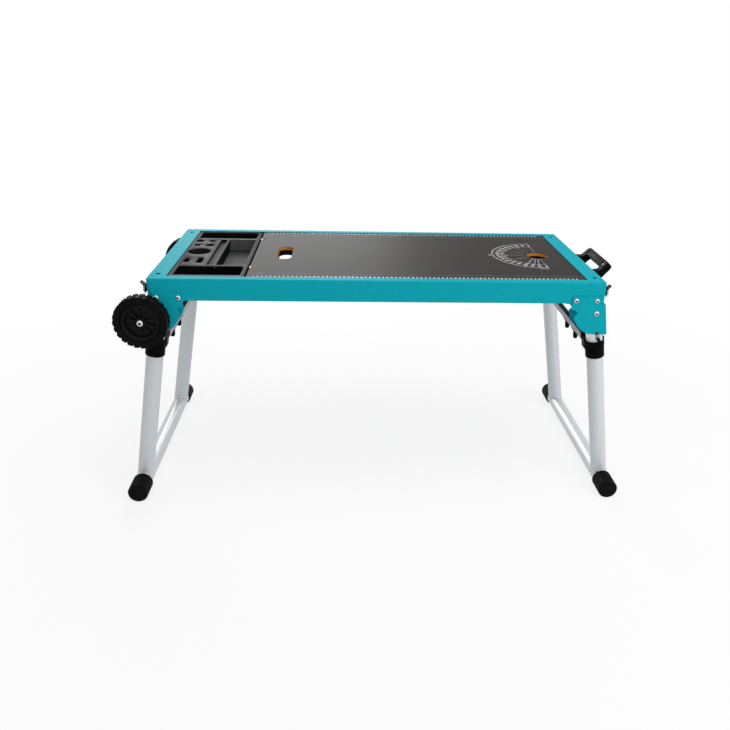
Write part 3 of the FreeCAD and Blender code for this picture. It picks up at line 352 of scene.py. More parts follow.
def link(made):
    """Puts an object into the scene."""
    bpy.context.scene.collection.objects.link(made)


def mesh_from(work, name, finish_names=""):
    """Mesh of a bmesh, which goes, with the named finishes."""
    mesh = bpy.data.meshes.new(name)
    work.to_mesh(mesh)
    work.free()
    for each in finish_names.split():
        mesh.materials.append(finish(each))
    return mesh


def settle(work, name, body, slot, finish_names=None, smooth_deg=35):
    """Turns a bmesh in millimetres into a piece that rides on a body and takes its finish from a slot."""
    bmesh.ops.remove_doubles(work, verts=work.verts, dist=0.001)
    bmesh.ops.recalc_face_normals(work, faces=work.faces)
    bmesh.ops.scale(work, vec=(MM, MM, MM), verts=work.verts)
    mesh = mesh_from(work, name, finish_names or slot)
    mesh.shade_smooth()
    mesh.set_sharp_from_angle(angle=math.radians(smooth_deg))
    piece = bpy.data.objects.new(name, mesh)
    link(piece)
    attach(piece, body)
    return piece


def box_mm(node):
    """Lowest and highest corners of a CAD node in millimetres."""
    low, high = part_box(node)
    return low / MM, high / MM


def centre_mm(node):
    """Middle of a CAD node's box in millimetres."""
    low, high = box_mm(node)
    return (low + high) / 2


def loose_boxes(node):
    """Lowest and highest corners in millimetres of each separate solid of a CAD node."""
    work = bmesh.new()
    work.from_mesh(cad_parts[node].data)
    bmesh.ops.remove_doubles(work, verts=work.verts, dist=1e-6)
    left = set(work.verts)
    boxes = []
    while left:
        edge = [left.pop()]
        points = []
        while edge:
            vert = edge.pop()
            points.append(vert.co / MM)
            near = left.intersection(e.other_vert(vert) for e in vert.link_edges)
            left -= near
            edge.extend(near)
        boxes.append([Vector(map(pick, *points)) for pick in (min, max)])
    work.free()
    return sorted(boxes, key=lambda pair: tuple(pair[0]))


def rounded(work, edges, offset, segments):
    """Rounds edges, and returns the points of what they belong to."""
    return bmesh.ops.bevel(work, geom=edges, offset=offset, segments=segments, affect="EDGES", profile=0.5,
                           material=-1)["verts"]


def block(work, centre, size, turn=None, rounding=0.0, segments=1):
    """Adds a block with rounded edges, turned about its centre and moved to its place."""
    verts = bmesh.ops.create_cube(work, size=1)["verts"]
    bmesh.ops.scale(work, vec=size, verts=verts)
    if rounding:
        verts = rounded(work, list({e for v in verts for e in v.link_edges}), rounding, segments)
    if turn is not None:
        bmesh.ops.transform(work, matrix=turn, verts=verts)
    bmesh.ops.translate(work, vec=centre, verts=verts)
    return verts


def turned(work, outline, centre, axis, steps, closed=True, angle=math.tau, side=None):
    """Spins an outline of (radius, distance along the axis) points round an axis."""
    side = side or (Z if abs(axis.z) < 0.5 else X)
    verts = [work.verts.new(centre + side * radius + axis * along) for radius, along in outline]
    pairs = zip(verts, verts[1:] + verts[:1]) if closed else zip(verts, verts[1:])
    edges = [work.edges.new(pair) for pair in pairs]
    bmesh.ops.spin(work, geom=verts + edges, cent=centre, axis=axis, angle=angle, steps=steps,
                   use_merge=angle == math.tau, use_duplicate=False)


def both_sides(half):
    """Closed outline from the half of it on one side of the middle plane."""
    return [(radius, -along) for radius, along in half] + [(radius, along) for radius, along in reversed(half)]


def copies(work, verts, count):
    """Copies a shape until there are count of it, and gives each copy's number and points."""
    geom = verts + list({e for v in verts for e in v.link_edges}) + list({f for v in verts for f in v.link_faces})
    for i in range(1, count):
        copied = bmesh.ops.duplicate(work, geom=geom)["geom"]
        yield i, [item for item in copied if isinstance(item, bmesh.types.BMVert)]


def repeat_round(work, verts, centre, axis, count):
    """Repeats a shape evenly round an axis."""
    for i, moved in copies(work, verts, count):
        bmesh.ops.rotate(work, cent=centre, matrix=Matrix.Rotation(math.tau * i / count, 3, axis), verts=moved)


def repeat_along(work, verts, step, count):
    """Repeats a shape along a straight line."""
    for i, moved in copies(work, verts, count):
        bmesh.ops.translate(work, vec=Vector(step) * i, verts=moved)


def baked(made):
    """Mesh of an object with its modifiers or its curve worked out. The object goes."""
    link(made)
    bpy.context.view_layer.update()
    mesh = bpy.data.meshes.new_from_object(made.evaluated_get(bpy.context.evaluated_depsgraph_get()))
    bpy.data.objects.remove(made)
    return mesh


def place_mesh(work, mesh, matrix):
    """Adds a mesh to a bmesh at a place, and returns its points."""
    before = len(work.verts)
    work.from_mesh(mesh)
    work.verts.ensure_lookup_table()
    fresh = work.verts[before:]
    bmesh.ops.transform(work, matrix=matrix, verts=fresh)
    return fresh


def facing(place, out, twist=0.0):
    """Matrix that stands a shape's Z along out at a place, turned about it by twist."""
    return (Matrix.Translation(place) @ Vector(out).to_track_quat("Z", "Y").to_matrix().to_4x4()
            @ Matrix.Rotation(twist, 4, "Z"))


def cut_away(solid, cutter, finish_names):
    """Mesh of closed, overlapping shapes in one, with the cutter's shapes taken away."""
    body, tool = [bpy.data.objects.new("shape", mesh_from(work, "shape", finish_names)) for work in (solid, cutter)]
    put(body.modifiers.new("cut", "BOOLEAN"), operation="DIFFERENCE", solver="EXACT", use_self=True, object=tool)
    link(tool)
    mesh = baked(body)
    bpy.data.objects.remove(tool)
    return mesh


def recessed_head(radius, height):
    """Pan head with a cross recess, its seat at the origin and its crown along Z."""
    head = bmesh.new()
    turned(head, [(0, height), (0.4 * radius, 0.97 * height), (0.72 * radius, 0.84 * height),
                  (0.92 * radius, 0.58 * height), (radius, 0.25 * height), (0.97 * radius, 0), (0, 0)],
           Vector(), Z, 32, closed=False)
    bmesh.ops.remove_doubles(head, verts=head.verts, dist=0.001)
    bmesh.ops.recalc_face_normals(head, faces=head.faces)
    cross = bmesh.new()
    for turn in (0, math.pi / 2):
        arm = block(cross, (0, 0, 0), (1.45 * radius, 0.4 * radius, height))
        bmesh.ops.scale(cross, vec=(0.45, 0.6, 1), verts=[v for v in arm if v.co.z < 0])
        bmesh.ops.rotate(cross, matrix=Matrix.Rotation(turn, 3, "Z"), verts=arm)
        bmesh.ops.translate(cross, vec=(0, 0, 0.85 * height), verts=arm)
    # The recess's faces take the finish with painted shade.
    for face in cross.faces:
        face.material_index = 1
    return cut_away(head, cross, SCREW_FINISHES)


def recessed_screws(node, axis, radius, height, twist, shank, chamfer=0.0, steps=20):
    """Replaces a node's plain screws by ones with recessed heads, which face out along the axis.

    twist is the turn of the first recess and what each next one adds. shank holds points of (radius, distance
    from the seat), the last of them where the shank runs on to its end and chamfer.
    """
    head = recessed_head(radius, height)
    work = bmesh.new()
    for i, (low, high) in enumerate(loose_boxes(node)):
        middle, half = (low + high) / 2, (high - low).dot(axis) / 2
        out = axis if middle.dot(axis) > 0 else -axis
        seat = middle + out * (half - height)
        place_mesh(work, head, facing(seat, out, twist[0] + twist[1] * i))
        last, end = shank[-1][0], height - 2 * half
        tip = [(last, end + chamfer), (last - chamfer, end)] if chamfer else [(last, end)]
        turned(work, [(0, 0.2), *shank, *tip, (0, end)], seat, out, steps, closed=False)
    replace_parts(settle(work, node + "_recessed", "deck", "zinc_steel", SCREW_FINISHES), node)


class DressOperator:
    """What the piece operators share: finishes for CAD nodes, by slot, and then shapes of their own."""

    bl_options = {"REGISTER", "UNDO"}
    looks = {}

    def execute(self, context):
        """Dresses the nodes, builds the shapes and reports that it is done."""
        for slot, names in self.looks.items():
            dress(slot, names)
        self.build(context.scene)
        return {"FINISHED"}

    def build(self, scene):
        """Builds the shapes. There are none where the CAD nodes say all."""


class WORKTABLE_OT_deck(DressOperator, bpy.types.Operator):
    """Paint of the folded deck frame and its cross members, and black bushes in its corner holes that paint the shade
    inside them
    """

    bl_idname = "worktable.deck"
    bl_label = "Deck frame"
    looks = {"teal_paint": "front_rail back_rail {end}_end_rail cross_member_{end}_end cross_member_seam "
                           "cross_member_middle cross_member_right"}

    def build(self, scene):
        """Puts black plastic bushes in the four holes at the deck's corners: a dark lining as painted shade inside
        the holes.
        """
        from_end, from_side = 19.5, 39
        corner = box_mm("right_end_rail")[1]
        side = box_mm("back_rail")[1].y
        work = bmesh.new()
        for x in (-1, 1):
            for y in (-1, 1):
                turned(work, [(5.3, -14), (5.3, -0.8), (4.6, -0.8), (4.3, -1.4), (4.3, -14)],
                       Vector((x * (corner.x - from_end), y * (side - from_side), corner.z)), Z, 36)
        # The black bushes stand in for the shade inside the holes.
        settle(work, "corner_bushes", "deck", "black_plastic")


class WORKTABLE_OT_worktop(DressOperator, bpy.types.Operator):
    """Laminated board, the liners of its holes and the clips at its seam"""

    bl_idname = "worktable.worktop"
    bl_label = "Worktop"
    looks = {"board": "worktop_board", "liner": "slot_liner hole_liner", "zinc_steel": "board_screws"}

    def build(self, scene):
        """Builds what sits in the board."""
        self.clips()
        self.lip("slot_liner", 48)
        self.lip("hole_liner", 64)

    def clips(self):
        """Two small clips over the seam, with bare fibre where their prongs enter the board."""
        top = box_mm("worktop_board")[1].z
        work, bare = bmesh.new(), bmesh.new()
        for low, high in loose_boxes("seam_clips"):
            middle = (low.y + high.y) / 2
            block(work, (low.x + 0.9, middle, top + 0.2), (1.6, high.y - low.y - 4, 1.2), None, 0.2)
            for prong in (middle - 7.5, middle + 7.5):
                block(work, (low.x + 3.2, prong, top + 0.2), (5.2, 3.4, 0.9), None, 0.25)
                block(bare, (low.x + 9.6, prong, top), (4.4, 3.4, 0.2), None, 0.08)
        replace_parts(settle(work, "seam_clip_prongs", "deck", "zinc_steel", "clip"), "seam_clips")
        settle(bare, "seam_notches", "deck", "board", "fibre")

    def lip(self, node, segments):
        """Rim of a liner, raised inside the board's cut: a ring, drawn long where the hole is a slot."""
        low, high = box_mm(node)
        flange, rise, wall = 7.05, 3.6, 0.7
        radius = (high.x - low.x) / 2 - flange
        straight = (high.y - low.y) / 2 - flange - radius
        work = bmesh.new()
        ring = bmesh.ops.create_circle(work, segments=segments, radius=radius, cap_ends=False)["verts"]
        for side in (-1, 1):
            bmesh.ops.translate(work, vec=(0, side * straight, 0), verts=[v for v in ring if side * v.co.y > 0.01])
        made = bmesh.ops.extrude_edge_only(work, edges=work.edges[:])["geom"]
        top = [item for item in made if isinstance(item, bmesh.types.BMVert)]
        bmesh.ops.translate(work, vec=(0, 0, rise), verts=top)
        bmesh.ops.translate(work, vec=((low.x + high.x) / 2, (low.y + high.y) / 2, high.z), verts=work.verts)
        bmesh.ops.recalc_face_normals(work, faces=work.faces)
        bmesh.ops.solidify(work, geom=work.faces[:], thickness=wall)
        settle(work, node + "_lip", "deck", "liner")


def digit_meshes(height, bold):
    """Meshes of the ten digits, of that height, thickened by bold, centred on their own width."""
    meshes = []
    for digit in "0123456789":
        text = put(bpy.data.curves.new("digit", "FONT"), body=digit, size=height / 0.7, align_x="CENTER",
                   resolution_u=2, extrude=INK_MM / 2, offset=bold)
        meshes.append(baked(bpy.data.objects.new("digit", text)))
    return meshes


def number(work, digits, value, place, height, turn=0.0, narrow=0.78):
    """Adds a printed number whose middle is at a place, turned about the vertical and drawn narrow."""
    figures = str(value)
    for i, figure in enumerate(figures):
        along = (i - (len(figures) - 1) / 2) * 0.78 * narrow * height
        place_mesh(work, digits[int(figure)], Matrix.Translation(place) @ Matrix.Rotation(turn, 4, "Z")
                   @ Matrix.Translation((along, -height / 2, 0)) @ Matrix.Diagonal((narrow, 1, 1, 1)))


def line(work, start, end, width):
    """Adds a thin printed line between two points."""
    start, end = Vector(start), Vector(end)
    run = end - start
    block(work, (start + end) / 2, (run.length, width, INK_MM), Matrix.Rotation(math.atan2(run.y, run.x), 4, "Z"))


class WORKTABLE_OT_rules(DressOperator, bpy.types.Operator):
    """Printed rules along both long edges of the worktop, each with a guide line"""

    bl_idname = "worktable.rules"
    bl_label = "Printed rules"

    def build(self, scene):
        """Prints ticks, centimetre numbers and a guide line along each edge."""
        sizes = scene.work_table_scales
        left = box_mm("worktop_board")[0].x
        right = box_mm("right_end_rail")[0].x
        top = box_mm("worktop_board")[1].z
        edge = box_mm("back_rail")[0].y - sizes.rule_inset / MM
        pitch, short, ink = sizes.tick_pitch / MM, sizes.tick_length / MM, sizes.ink_width / MM
        tall = sizes.number_height / MM
        digits = digit_meshes(tall, 0.42)
        start, guide = left + 6, 187
        for side, sign in LONG_SIDES:
            work = bmesh.new()
            z = top + INK_MM / 2
            tick = block(work, (start, sign * (edge - short / 2), z), (0.22 * ink, short, INK_MM))
            repeat_along(work, tick, (pitch, 0, 0), int((right - start - 2) / pitch))
            mark = block(work, (start, sign * (edge - 0.7 * short), z), (0.5 * ink, 1.4 * short, INK_MM))
            count = int((right - start - 4) / 10)
            repeat_along(work, mark, (10, 0, 0), count)
            for i in range(1, count):
                middle = Vector((start + 10 * i, sign * (edge - 1.6 * short - tall / 2), z))
                number(work, digits, i, middle, tall, narrow=0.5)
            line(work, (start - 4, sign * guide, z), (right - 1.5, sign * guide, z), 0.16 * ink)
            settle(work, f"{side}_printed_rule", "deck", "board", "print_ink")


# Fan of lines between the round hole and the front rule, and the box beside it: x and y of each end.
PROTRACTOR_FAN = (((403, -28), (367, -103)), ((409, -30), (392, -90)), ((415, -31), (405, -87)),
                  ((403, -124.5), (421, -124.5)), ((403, -124.5), (403, -111)), ((403, -111), (421, -111)))


class WORKTABLE_OT_protractor(DressOperator, bpy.types.Operator):
    """Printed protractor round the worktop's round hole"""

    bl_idname = "worktable.protractor"
    bl_label = "Printed protractor"

    def build(self, scene):
        """Prints arcs, degree ticks, numbers, rays and the index mark."""
        sizes = scene.work_table_scales
        low, high = box_mm("hole_liner")
        centre = Vector(((low.x + high.x) / 2, (low.y + high.y) / 2 + 1.5, box_mm("worktop_board")[1].z + INK_MM / 2))
        outer, inner, ink = sizes.outer_radius / MM, sizes.inner_radius / MM, sizes.ink_width / MM
        hole = (high.x - low.x) / 2 - 4
        rows = [(inner + 16, 9.5, digit_meshes(9.5, 0.3)), (inner + 5.5, 6.0, digit_meshes(6.0, 0.2))]
        work = bmesh.new()
        half = INK_MM / 2
        for radius, wide in ((outer, 1.1 * ink), (inner, 0.7 * ink)):
            outline = [(radius - wide, -half), (radius, -half), (radius, half), (radius - wide, half)]
            turned(work, outline, centre, Z, 96, angle=math.pi, side=Y)
        for degree in range(0, 181, 2):
            ray = Matrix.Rotation(math.radians(90 + degree), 3, "Z") @ X
            deep = 9 if degree % 10 == 0 else 5
            line(work, centre + ray * (outer - deep), centre + ray * outer, 0.5 * ink)
            if degree % 10 == 0:
                for radius, tall, digits in rows:
                    number(work, digits, min(degree, 180 - degree), centre + ray * radius, tall,
                           math.radians(degree), 0.7)
            if degree % 15 == 0:
                line(work, centre + ray * (hole + 6), centre + ray * (inner - ink), 0.35 * ink)
        line(work, centre + Y * hole, centre + Y * (outer + 8), 0.9 * ink)
        line(work, centre - Y * hole, centre - Y * (outer + 5), 0.9 * ink)
        for start, end in PROTRACTOR_FAN:
            line(work, (*start, centre.z), (*end, centre.z), 0.9 * ink)
        # The index triangle, and the two dots on the middle ray.
        for back, corners, size, turn in ((outer + 6, 3, 4.6, math.pi / 2), (inner - 6, 20, 2.2, 0),
                                          (inner + 16, 20, 2.2, 0)):
            bmesh.ops.create_cone(work, cap_ends=True, segments=corners, radius1=size, radius2=size, depth=INK_MM,
                                  matrix=Matrix.Translation(centre - X * back) @ Matrix.Rotation(turn, 4, "Z"))
        settle(work, "printed_protractor", "deck", "board", "print_ink")


# The tray stands this much above its plain solid, in millimetres, so that it is flush with the board.
TRAY_RISE = 2.6
# How far forward the foot of the bin's back wall comes.
BIN_SLOPE = 34
# Pockets from the tray's left edge and its middle: x0, x1, y0, y1, depth, corner radius.
BIN_DEPTH, GROOVE_DEPTH = 28.6, 6.5
TRAY_POCKETS = (
    (18.5, 172.5, 143.5, 206.5, 38.6, 5), (18.5, 172.5, -200, -130, 38.6, 5),
    (104, 172.5, -118, 139.5, BIN_DEPTH, 5), (81, 96.5, -118, 127, GROOVE_DEPTH, 1.5),
    (19.9, 33.9, -95, -61.5, 32.6, 3), (51.9, 66, -100, -56, 32.6, 3))
# Round holes: x, y, radius, depth.
TRAY_SOCKETS = ((43, 5, 28.6, 37.6), (26.6, 113, 11.4, 32.6), (58.7, 113, 9, 32.6), (26.6, 68, 9, 32.6),
                (58.7, 68, 11.4, 32.6))


class WORKTABLE_OT_tray(DressOperator, bpy.types.Operator):
    """Moulded tool tray"""

    bl_idname = "worktable.tray"
    bl_label = "Tool tray"

    def build(self, scene):
        """Builds the tray: a plate with a skirt, and walled pockets with rounded floors that hang from it."""
        low, high = box_mm("tool_tray")
        edge = Vector((low.x, 0, high.z + TRAY_RISE))
        wall = 2.5
        right = high.x - low.x - wall
        solid, hollow = bmesh.new(), bmesh.new()
        deep = high.y - low.y
        block(solid, edge + Vector((right / 2, 0, -1.5)), (right, deep, 3.0), None, 0.6)
        for x in (1.3, right - 1.3):
            block(solid, edge + Vector((x, 0, -6)), (wall, deep - 0.4, 11.5))
        for sign in (-1, 1):
            block(solid, edge + Vector((right / 2, sign * (deep / 2 - 1.5), -6)), (right - 0.4, wall, 11.5))
        for x0, x1, y0, y1, depth, corner in TRAY_POCKETS:
            middle, size = Vector(((x0 + x1) / 2, (y0 + y1) / 2, -depth / 2)), Vector((x1 - x0, y1 - y0, depth))
            block(solid, edge + middle - Z * wall, size + Vector((2 * wall, 2 * wall, 0.4)), None, corner, 2)
            pocket = block(hollow, edge + middle + Z * 6, size + Z * 12, None, corner, 4)
            self.finish_pocket(hollow, pocket, edge.z - depth, depth)
        for x, y, radius, depth in TRAY_SOCKETS:
            for work, grow, drop in ((solid, wall, -1.3), (hollow, 0, 3)):
                bmesh.ops.create_cone(work, cap_ends=True, segments=44, radius1=radius + grow, radius2=radius + grow,
                                      depth=depth, matrix=Matrix.Translation(edge + Vector((x, y, drop - depth / 2))))
        block(hollow, edge + Vector((right - 3.6, 0, 0)), (1.7, deep - 24, 2.6))
        work = bmesh.new()
        work.from_mesh(cut_away(solid, hollow, TRAY_FINISHES))
        bmesh.ops.remove_doubles(work, verts=work.verts, dist=0.001)
        rims = [e for e in work.edges if len(e.link_faces) == 2 and all(abs(v.co.z - edge.z) < 0.01 for v in e.verts)
                and min(f.normal.z for f in e.link_faces) < 0.5]
        rounded(work, rims, 0.7, 2)
        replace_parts(settle(work, "moulded_tray", "deck", "tray", TRAY_FINISHES), "tool_tray")

    def finish_pocket(self, hollow, pocket, floor_z, depth):
        """Slopes the bin's back wall, and sets the finish of a pocket's walls and floor: painted shade on the walls
        and on the floors of the troughs and small pockets, and paler plastic on the bin's floor.
        """
        if depth == BIN_DEPTH:
            back = max(v.co.y for v in pocket) - 6
            foot = [v for v in pocket if v.co.y > back and v.co.z < floor_z + 6]
            bmesh.ops.translate(hollow, vec=(0, -BIN_SLOPE, 0), verts=foot)
        # Painted shade goes on the walls and on the floors of the troughs and small pockets; the bin's floor is
        # paler.
        floor_finish = {BIN_DEPTH: TRAY_PALE_FLOOR, GROOVE_DEPTH: TRAY_FACE}.get(depth, TRAY_PAINTED_SHADE)
        for face in {f for v in pocket for f in v.link_faces}:
            face.normal_update()
            face.material_index = floor_finish if face.normal.z < -0.3 else TRAY_PAINTED_SHADE


class WORKTABLE_OT_brackets(DressOperator, bpy.types.Operator):
    """Hinge brackets with their nuts"""

    bl_idname = "worktable.brackets"
    bl_label = "Hinge brackets"
    looks = {"teal_paint": "{end}_{side}_bracket", "zinc_steel": "bracket_nuts pivot_nuts"}


class WORKTABLE_OT_screws(DressOperator, bpy.types.Operator):
    """Pan-head screws and pivot bolts with cross recesses"""

    bl_idname = "worktable.screws"
    bl_label = "Screws and bolts"

    def build(self, scene):
        """Builds each screw where its plain solid is, with the recesses turned at odds."""
        recessed_screws("bracket_screws", Y, 5.8, 3.5, (0.35, 1.1), [(3, 0.2)], 0.9)
        recessed_screws("pivot_bolts", Y, 6.6, 4.3, (0.35, 1.1), [(4, 0.2)], 1.2)
        recessed_screws("handle_screws", X, 4.5, 2.6, (0, 0.8), [(2.5, 0.2)], 0.75)


class WORKTABLE_OT_legs(DressOperator, bpy.types.Operator):
    """Leg tubes, foot tubes and their ribbed caps"""

    bl_idname = "worktable.legs"
    bl_label = "Leg frames"
    looks = {"leg_paint": "{end}_{side}_leg", "grey_paint": "{end}_foot_tube"}

    def build(self, scene):
        """Lays a weld bead round the foot of each leg, and builds the caps."""
        for end in ENDS:
            for side, out in LONG_SIDES:
                self.weld(end, side)
                made = self.cap(scene.work_table_wheels.cap_ribs, end, side, out)
                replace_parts(made, f"{end}_{side}_foot_cap")

    def cap(self, ribs, end, side, out):
        """Rubber cap with fine ribs along its side, a plain rolled rim and a smooth end."""
        low, high = box_mm(f"{end}_{side}_foot_cap")
        centre = (low + high) / 2
        half = (high.y - low.y) / 2
        radius = (high.z - low.z) / 2
        bore = (box_mm(f"{end}_foot_tube")[1].z - box_mm(f"{end}_foot_tube")[0].z) / 2 + 0.05
        outline = [(bore, -half), (radius - 0.4, -half), (radius, -half + 1.2), (radius, -half + 3.2),
                   (radius - 1.0, -half + 4.2), (radius - 1.0, half - 7.5), (radius, half - 6.2),
                   (radius, half - 3.6), (radius - 1.2, half - 1.0), (radius - 3.6, half), (radius - 9, half),
                   (radius - 9.6, half - 0.7), (0, half - 0.7), (0, half - 5.5), (bore, half - 5.5)]
        work = bmesh.new()
        turned(work, [(r, out * a) for r, a in outline], centre, Y, 64)
        rib = block(work, centre + Vector((0, -out * 1.6, radius - 1.0)), (1.5, 2 * half - 11.2, 1.9), None, 0.45)
        repeat_round(work, rib, centre, Y, ribs)
        return settle(work, f"{end}_{side}_ribbed_cap", f"{end}_leg_frame", "rubber")

    def weld(self, end, side):
        """Bead that follows the saddle where a leg tube stands on its foot tube."""
        foot = centre_mm(f"{end}_foot_tube")
        foot.y = centre_mm(f"{end}_{side}_leg").y
        pins = [(a + b) / 2 for a, b in loose_boxes("pivot_bolts")]
        pin = min(pins, key=lambda p: abs(p.x - foot.x) + abs(p.y - foot.y))
        up = Vector((pin.x - foot.x, 0, pin.z - foot.z)).normalized()
        leg_radius, foot_radius, count = 20.3, 21.0, 72
        curve = put(bpy.data.curves.new("bead", "CURVE"), dimensions="3D", bevel_depth=1.5, bevel_resolution=2)
        spline = curve.splines.new("POLY")
        spline.points.add(count - 1)
        spline.use_cyclic_u = True
        for i, point in enumerate(spline.points):
            turn = math.tau * i / count
            across, along = leg_radius * math.cos(turn), leg_radius * math.sin(turn)
            point.co = (across, along, math.sqrt(foot_radius ** 2 - across ** 2), 1)
            point.radius = 1 + 0.12 * (i % 2)
        mesh = baked(bpy.data.objects.new("bead", curve))
        turn = Matrix((Y.cross(up), Y, up)).transposed().to_4x4()
        work = bmesh.new()
        place_mesh(work, mesh, Matrix.Translation(foot) @ turn)
        settle(work, f"{end}_{side}_weld_bead", f"{end}_leg_frame", "grey_paint", "weld", 60)


class WORKTABLE_OT_releases(DressOperator, bpy.types.Operator):
    """Collars, crossbars, finger pulls, lock pins and links"""

    bl_idname = "worktable.releases"
    bl_label = "Leg releases"
    looks = {"black_plastic": "{end}_{side}_collar {end}_finger_pulls", "bar_paint": "{end}_crossbar",
             "clip": "{end}_lock_pins", "black_steel": "{end}_pin_links"}


class WORKTABLE_OT_wheels(DressOperator, bpy.types.Operator):
    """Tyres with slanted tread blocks and dished, ribbed discs"""

    bl_idname = "worktable.wheels"
    bl_label = "Wheels"

    def build(self, scene):
        """Builds a tyre, a disc and its shoulder bolt at each side."""
        sizes = scene.work_table_wheels
        for side, _ in LONG_SIDES:
            centre = centre_mm(f"{side}_tyre")
            body = f"{side}_wheel"
            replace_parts(self.tyre(sizes, side, centre, body), f"{side}_tyre")
            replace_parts(self.disc(sizes, side, centre, body), f"{side}_hub")
            self.lip(side, centre, body)
        shank = [(5, 0.2), (5, -29), (8, -29), (8, -31.2), (11, -31.2)]
        recessed_screws("wheel_axles", Y, 7.5, 4.0, (0.5, 0), shank, steps=32)

    def tyre(self, sizes, side, centre, body):
        """Solid tyre: a ribbed sidewall, and two staggered rows of slanted blocks that wrap its shoulders."""
        half = [(46, 11.5), (46.2, 13.6), (47.4, 14.5), (48.6, 14.6), (49.1, 15.2), (49.9, 15.2), (50.3, 14.7),
                (53.6, 14.9), (56.6, 14.2), (58.2, 12.4), (58.6, 6.0)]
        work = bmesh.new()
        turned(work, both_sides(half), centre, Y, 90)
        count, tall = sizes.lug_count, sizes.lug_height / MM
        for row in (-1, 1):
            slant = Matrix.Rotation(row * sizes.lug_slant, 4, "Z")
            lug = block(work, centre + Vector((0, row * 8.3, 61 - tall / 2 - 0.7)), (12.2, 14.0, tall + 1.4),
                        slant, 1.0)
            claw = block(work, centre + Vector((1.6, row * 14.6, 55.0)), (7.6, 1.8, 7.0),
                         Matrix.Rotation(0.3, 4, "Y"), 0.6)
            both = lug + claw
            bmesh.ops.rotate(work, cent=centre, verts=both,
                             matrix=Matrix.Rotation(math.pi / count * (row + 1) / 2, 3, "Y"))
            repeat_round(work, both, centre, Y, count)
        return settle(work, f"{side}_tyre_tread", body, "rubber")

    def lip(self, side, centre, body):
        """Polished bead round each face of the disc."""
        work = bmesh.new()
        for out in (-1, 1):
            bead = [(42.2, out * 13.9), (42.5, out * 14.6), (43.1, out * 14.6), (43.4, out * 13.9)]
            turned(work, bead, centre, Y, 72)
        settle(work, f"{side}_disc_bead", body, "black_plastic", "black_steel")

    def disc(self, sizes, side, centre, body):
        """Dished disc: boss, web, stepped rim with a raised lip, and radial ribs on both faces."""
        half = [(5.6, 13.2), (9.0, 13.2), (10.2, 12.0), (10.9, 4.0), (33.6, 3.4), (34.8, 9.4), (35.8, 10.6),
                (40.4, 11.4), (41.2, 13.2), (42.2, 14.0), (43.4, 14.0), (44.4, 13.2), (45.0, 12.0), (46.0, 11.8)]
        work = bmesh.new()
        turned(work, both_sides(half), centre, Y, 72)
        wide = sizes.rib_width / MM
        for row in (-1, 1):
            rib = block(work, (0, row * 7.2, 22.2), (wide, 9.0, 24.6))
            tip = [v for v in rib if v.co.z > 22]
            bmesh.ops.scale(work, vec=(0.45, 1, 1), verts=tip)
            bmesh.ops.translate(work, vec=(0, -row * 4.2, 0), verts=[v for v in tip if row * v.co.y > 7.2])
            bmesh.ops.translate(work, vec=centre, verts=rib)
            rib = rounded(work, list({e for v in rib for e in v.link_edges}), 0.7, 2)
            repeat_round(work, rib, centre, Y, sizes.rib_count)
        return settle(work, f"{side}_wheel_disc", body, "black_plastic", "hub")


class WORKTABLE_OT_handle(DressOperator, bpy.types.Operator):
    """Moulded carry handle"""

    bl_idname = "worktable.handle"
    bl_label = "Carry handle"
    looks = {"black_plastic": "carry_handle"}

    def build(self, scene):
        """Adds the grip's strip and the screw beside it, both on its inner slope."""
        corner = box_mm("carry_handle")[1]
        slope = Vector((-0.72, 0, 0.69))
        work = bmesh.new()
        block(work, (corner.x - 18.7, 0, corner.z - 7.2), (10.5, 104, 1.2),
              Matrix.Rotation(math.atan2(slope.x, slope.z), 4, "Y"), 0.4, 2)
        settle(work, "grip_strip", "deck", "rubber")
        work = bmesh.new()
        place_mesh(work, recessed_head(2.3, 1.2), facing((corner.x - 21.1, -64, corner.z - 7.9), slope, 0.4))
        settle(work, "grip_screw", "deck", "zinc_steel", SCREW_FINISHES)


class WORKTABLE_OT_latches(DressOperator, bpy.types.Operator):
    """Draw latches on the end rails"""

    bl_idname = "worktable.latches"
    bl_label = "Draw latches"
    looks = {"black_steel": "{end}_latch_lever {end}_latch_base", "zinc_steel": "{end}_latch_bail"}


# Studio.

CAMERA_PLACE_MM = Vector((-80.55, -1822.19, 1047.14))
CAMERA_YAW, CAMERA_PITCH, CAMERA_ROLL = -0.0670, 0.4423, 0.0294
CAMERA_LENS_MM = 35.35
CAMERA_SHIFT = (-0.0331, 0.0274)


def camera():
    """Camera of the product view, at standing eye height in front of the table."""
    data = put(bpy.data.cameras.new("camera"), sensor_width=36, lens=CAMERA_LENS_MM)
    data.shift_x, data.shift_y = CAMERA_SHIFT
    made = bpy.data.objects.new("camera", data)
    turn = (Matrix.Rotation(CAMERA_YAW, 4, "Z") @ Matrix.Rotation(math.pi / 2 - CAMERA_PITCH, 4, "X")
            @ Matrix.Rotation(CAMERA_ROLL, 4, "Z"))
    made.matrix_world = Matrix.Translation(CAMERA_PLACE_MM * MM) @ turn
    link(made)
    bpy.context.scene.camera = made


def area_lamp(name, place, aim, size, watts):
    """Square soft lamp at a place, turned to its aim."""
    data = put(bpy.data.lights.new(name, "AREA"), shape="SQUARE", size=size, energy=watts)
    made = bpy.data.objects.new(name, data)
    made.matrix_world = (Matrix.Translation(place)
                         @ (Vector(aim) - Vector(place)).to_track_quat("-Z", "Y").to_matrix().to_4x4())
    link(made)


def seen_directly(tree):
    """One for rays from the camera, a reflection or a pane of glass, and nought for the light's own bounces."""
    ray = add(tree, "ShaderNodeLightPath").outputs
    seen = ray["Is Camera Ray"]
    for other in ("Is Glossy Ray", "Is Transmission Ray"):
        seen = add(tree, "ShaderNodeMath", {0: seen, 1: ray[other]}, operation="MAXIMUM").outputs[0]
    return seen


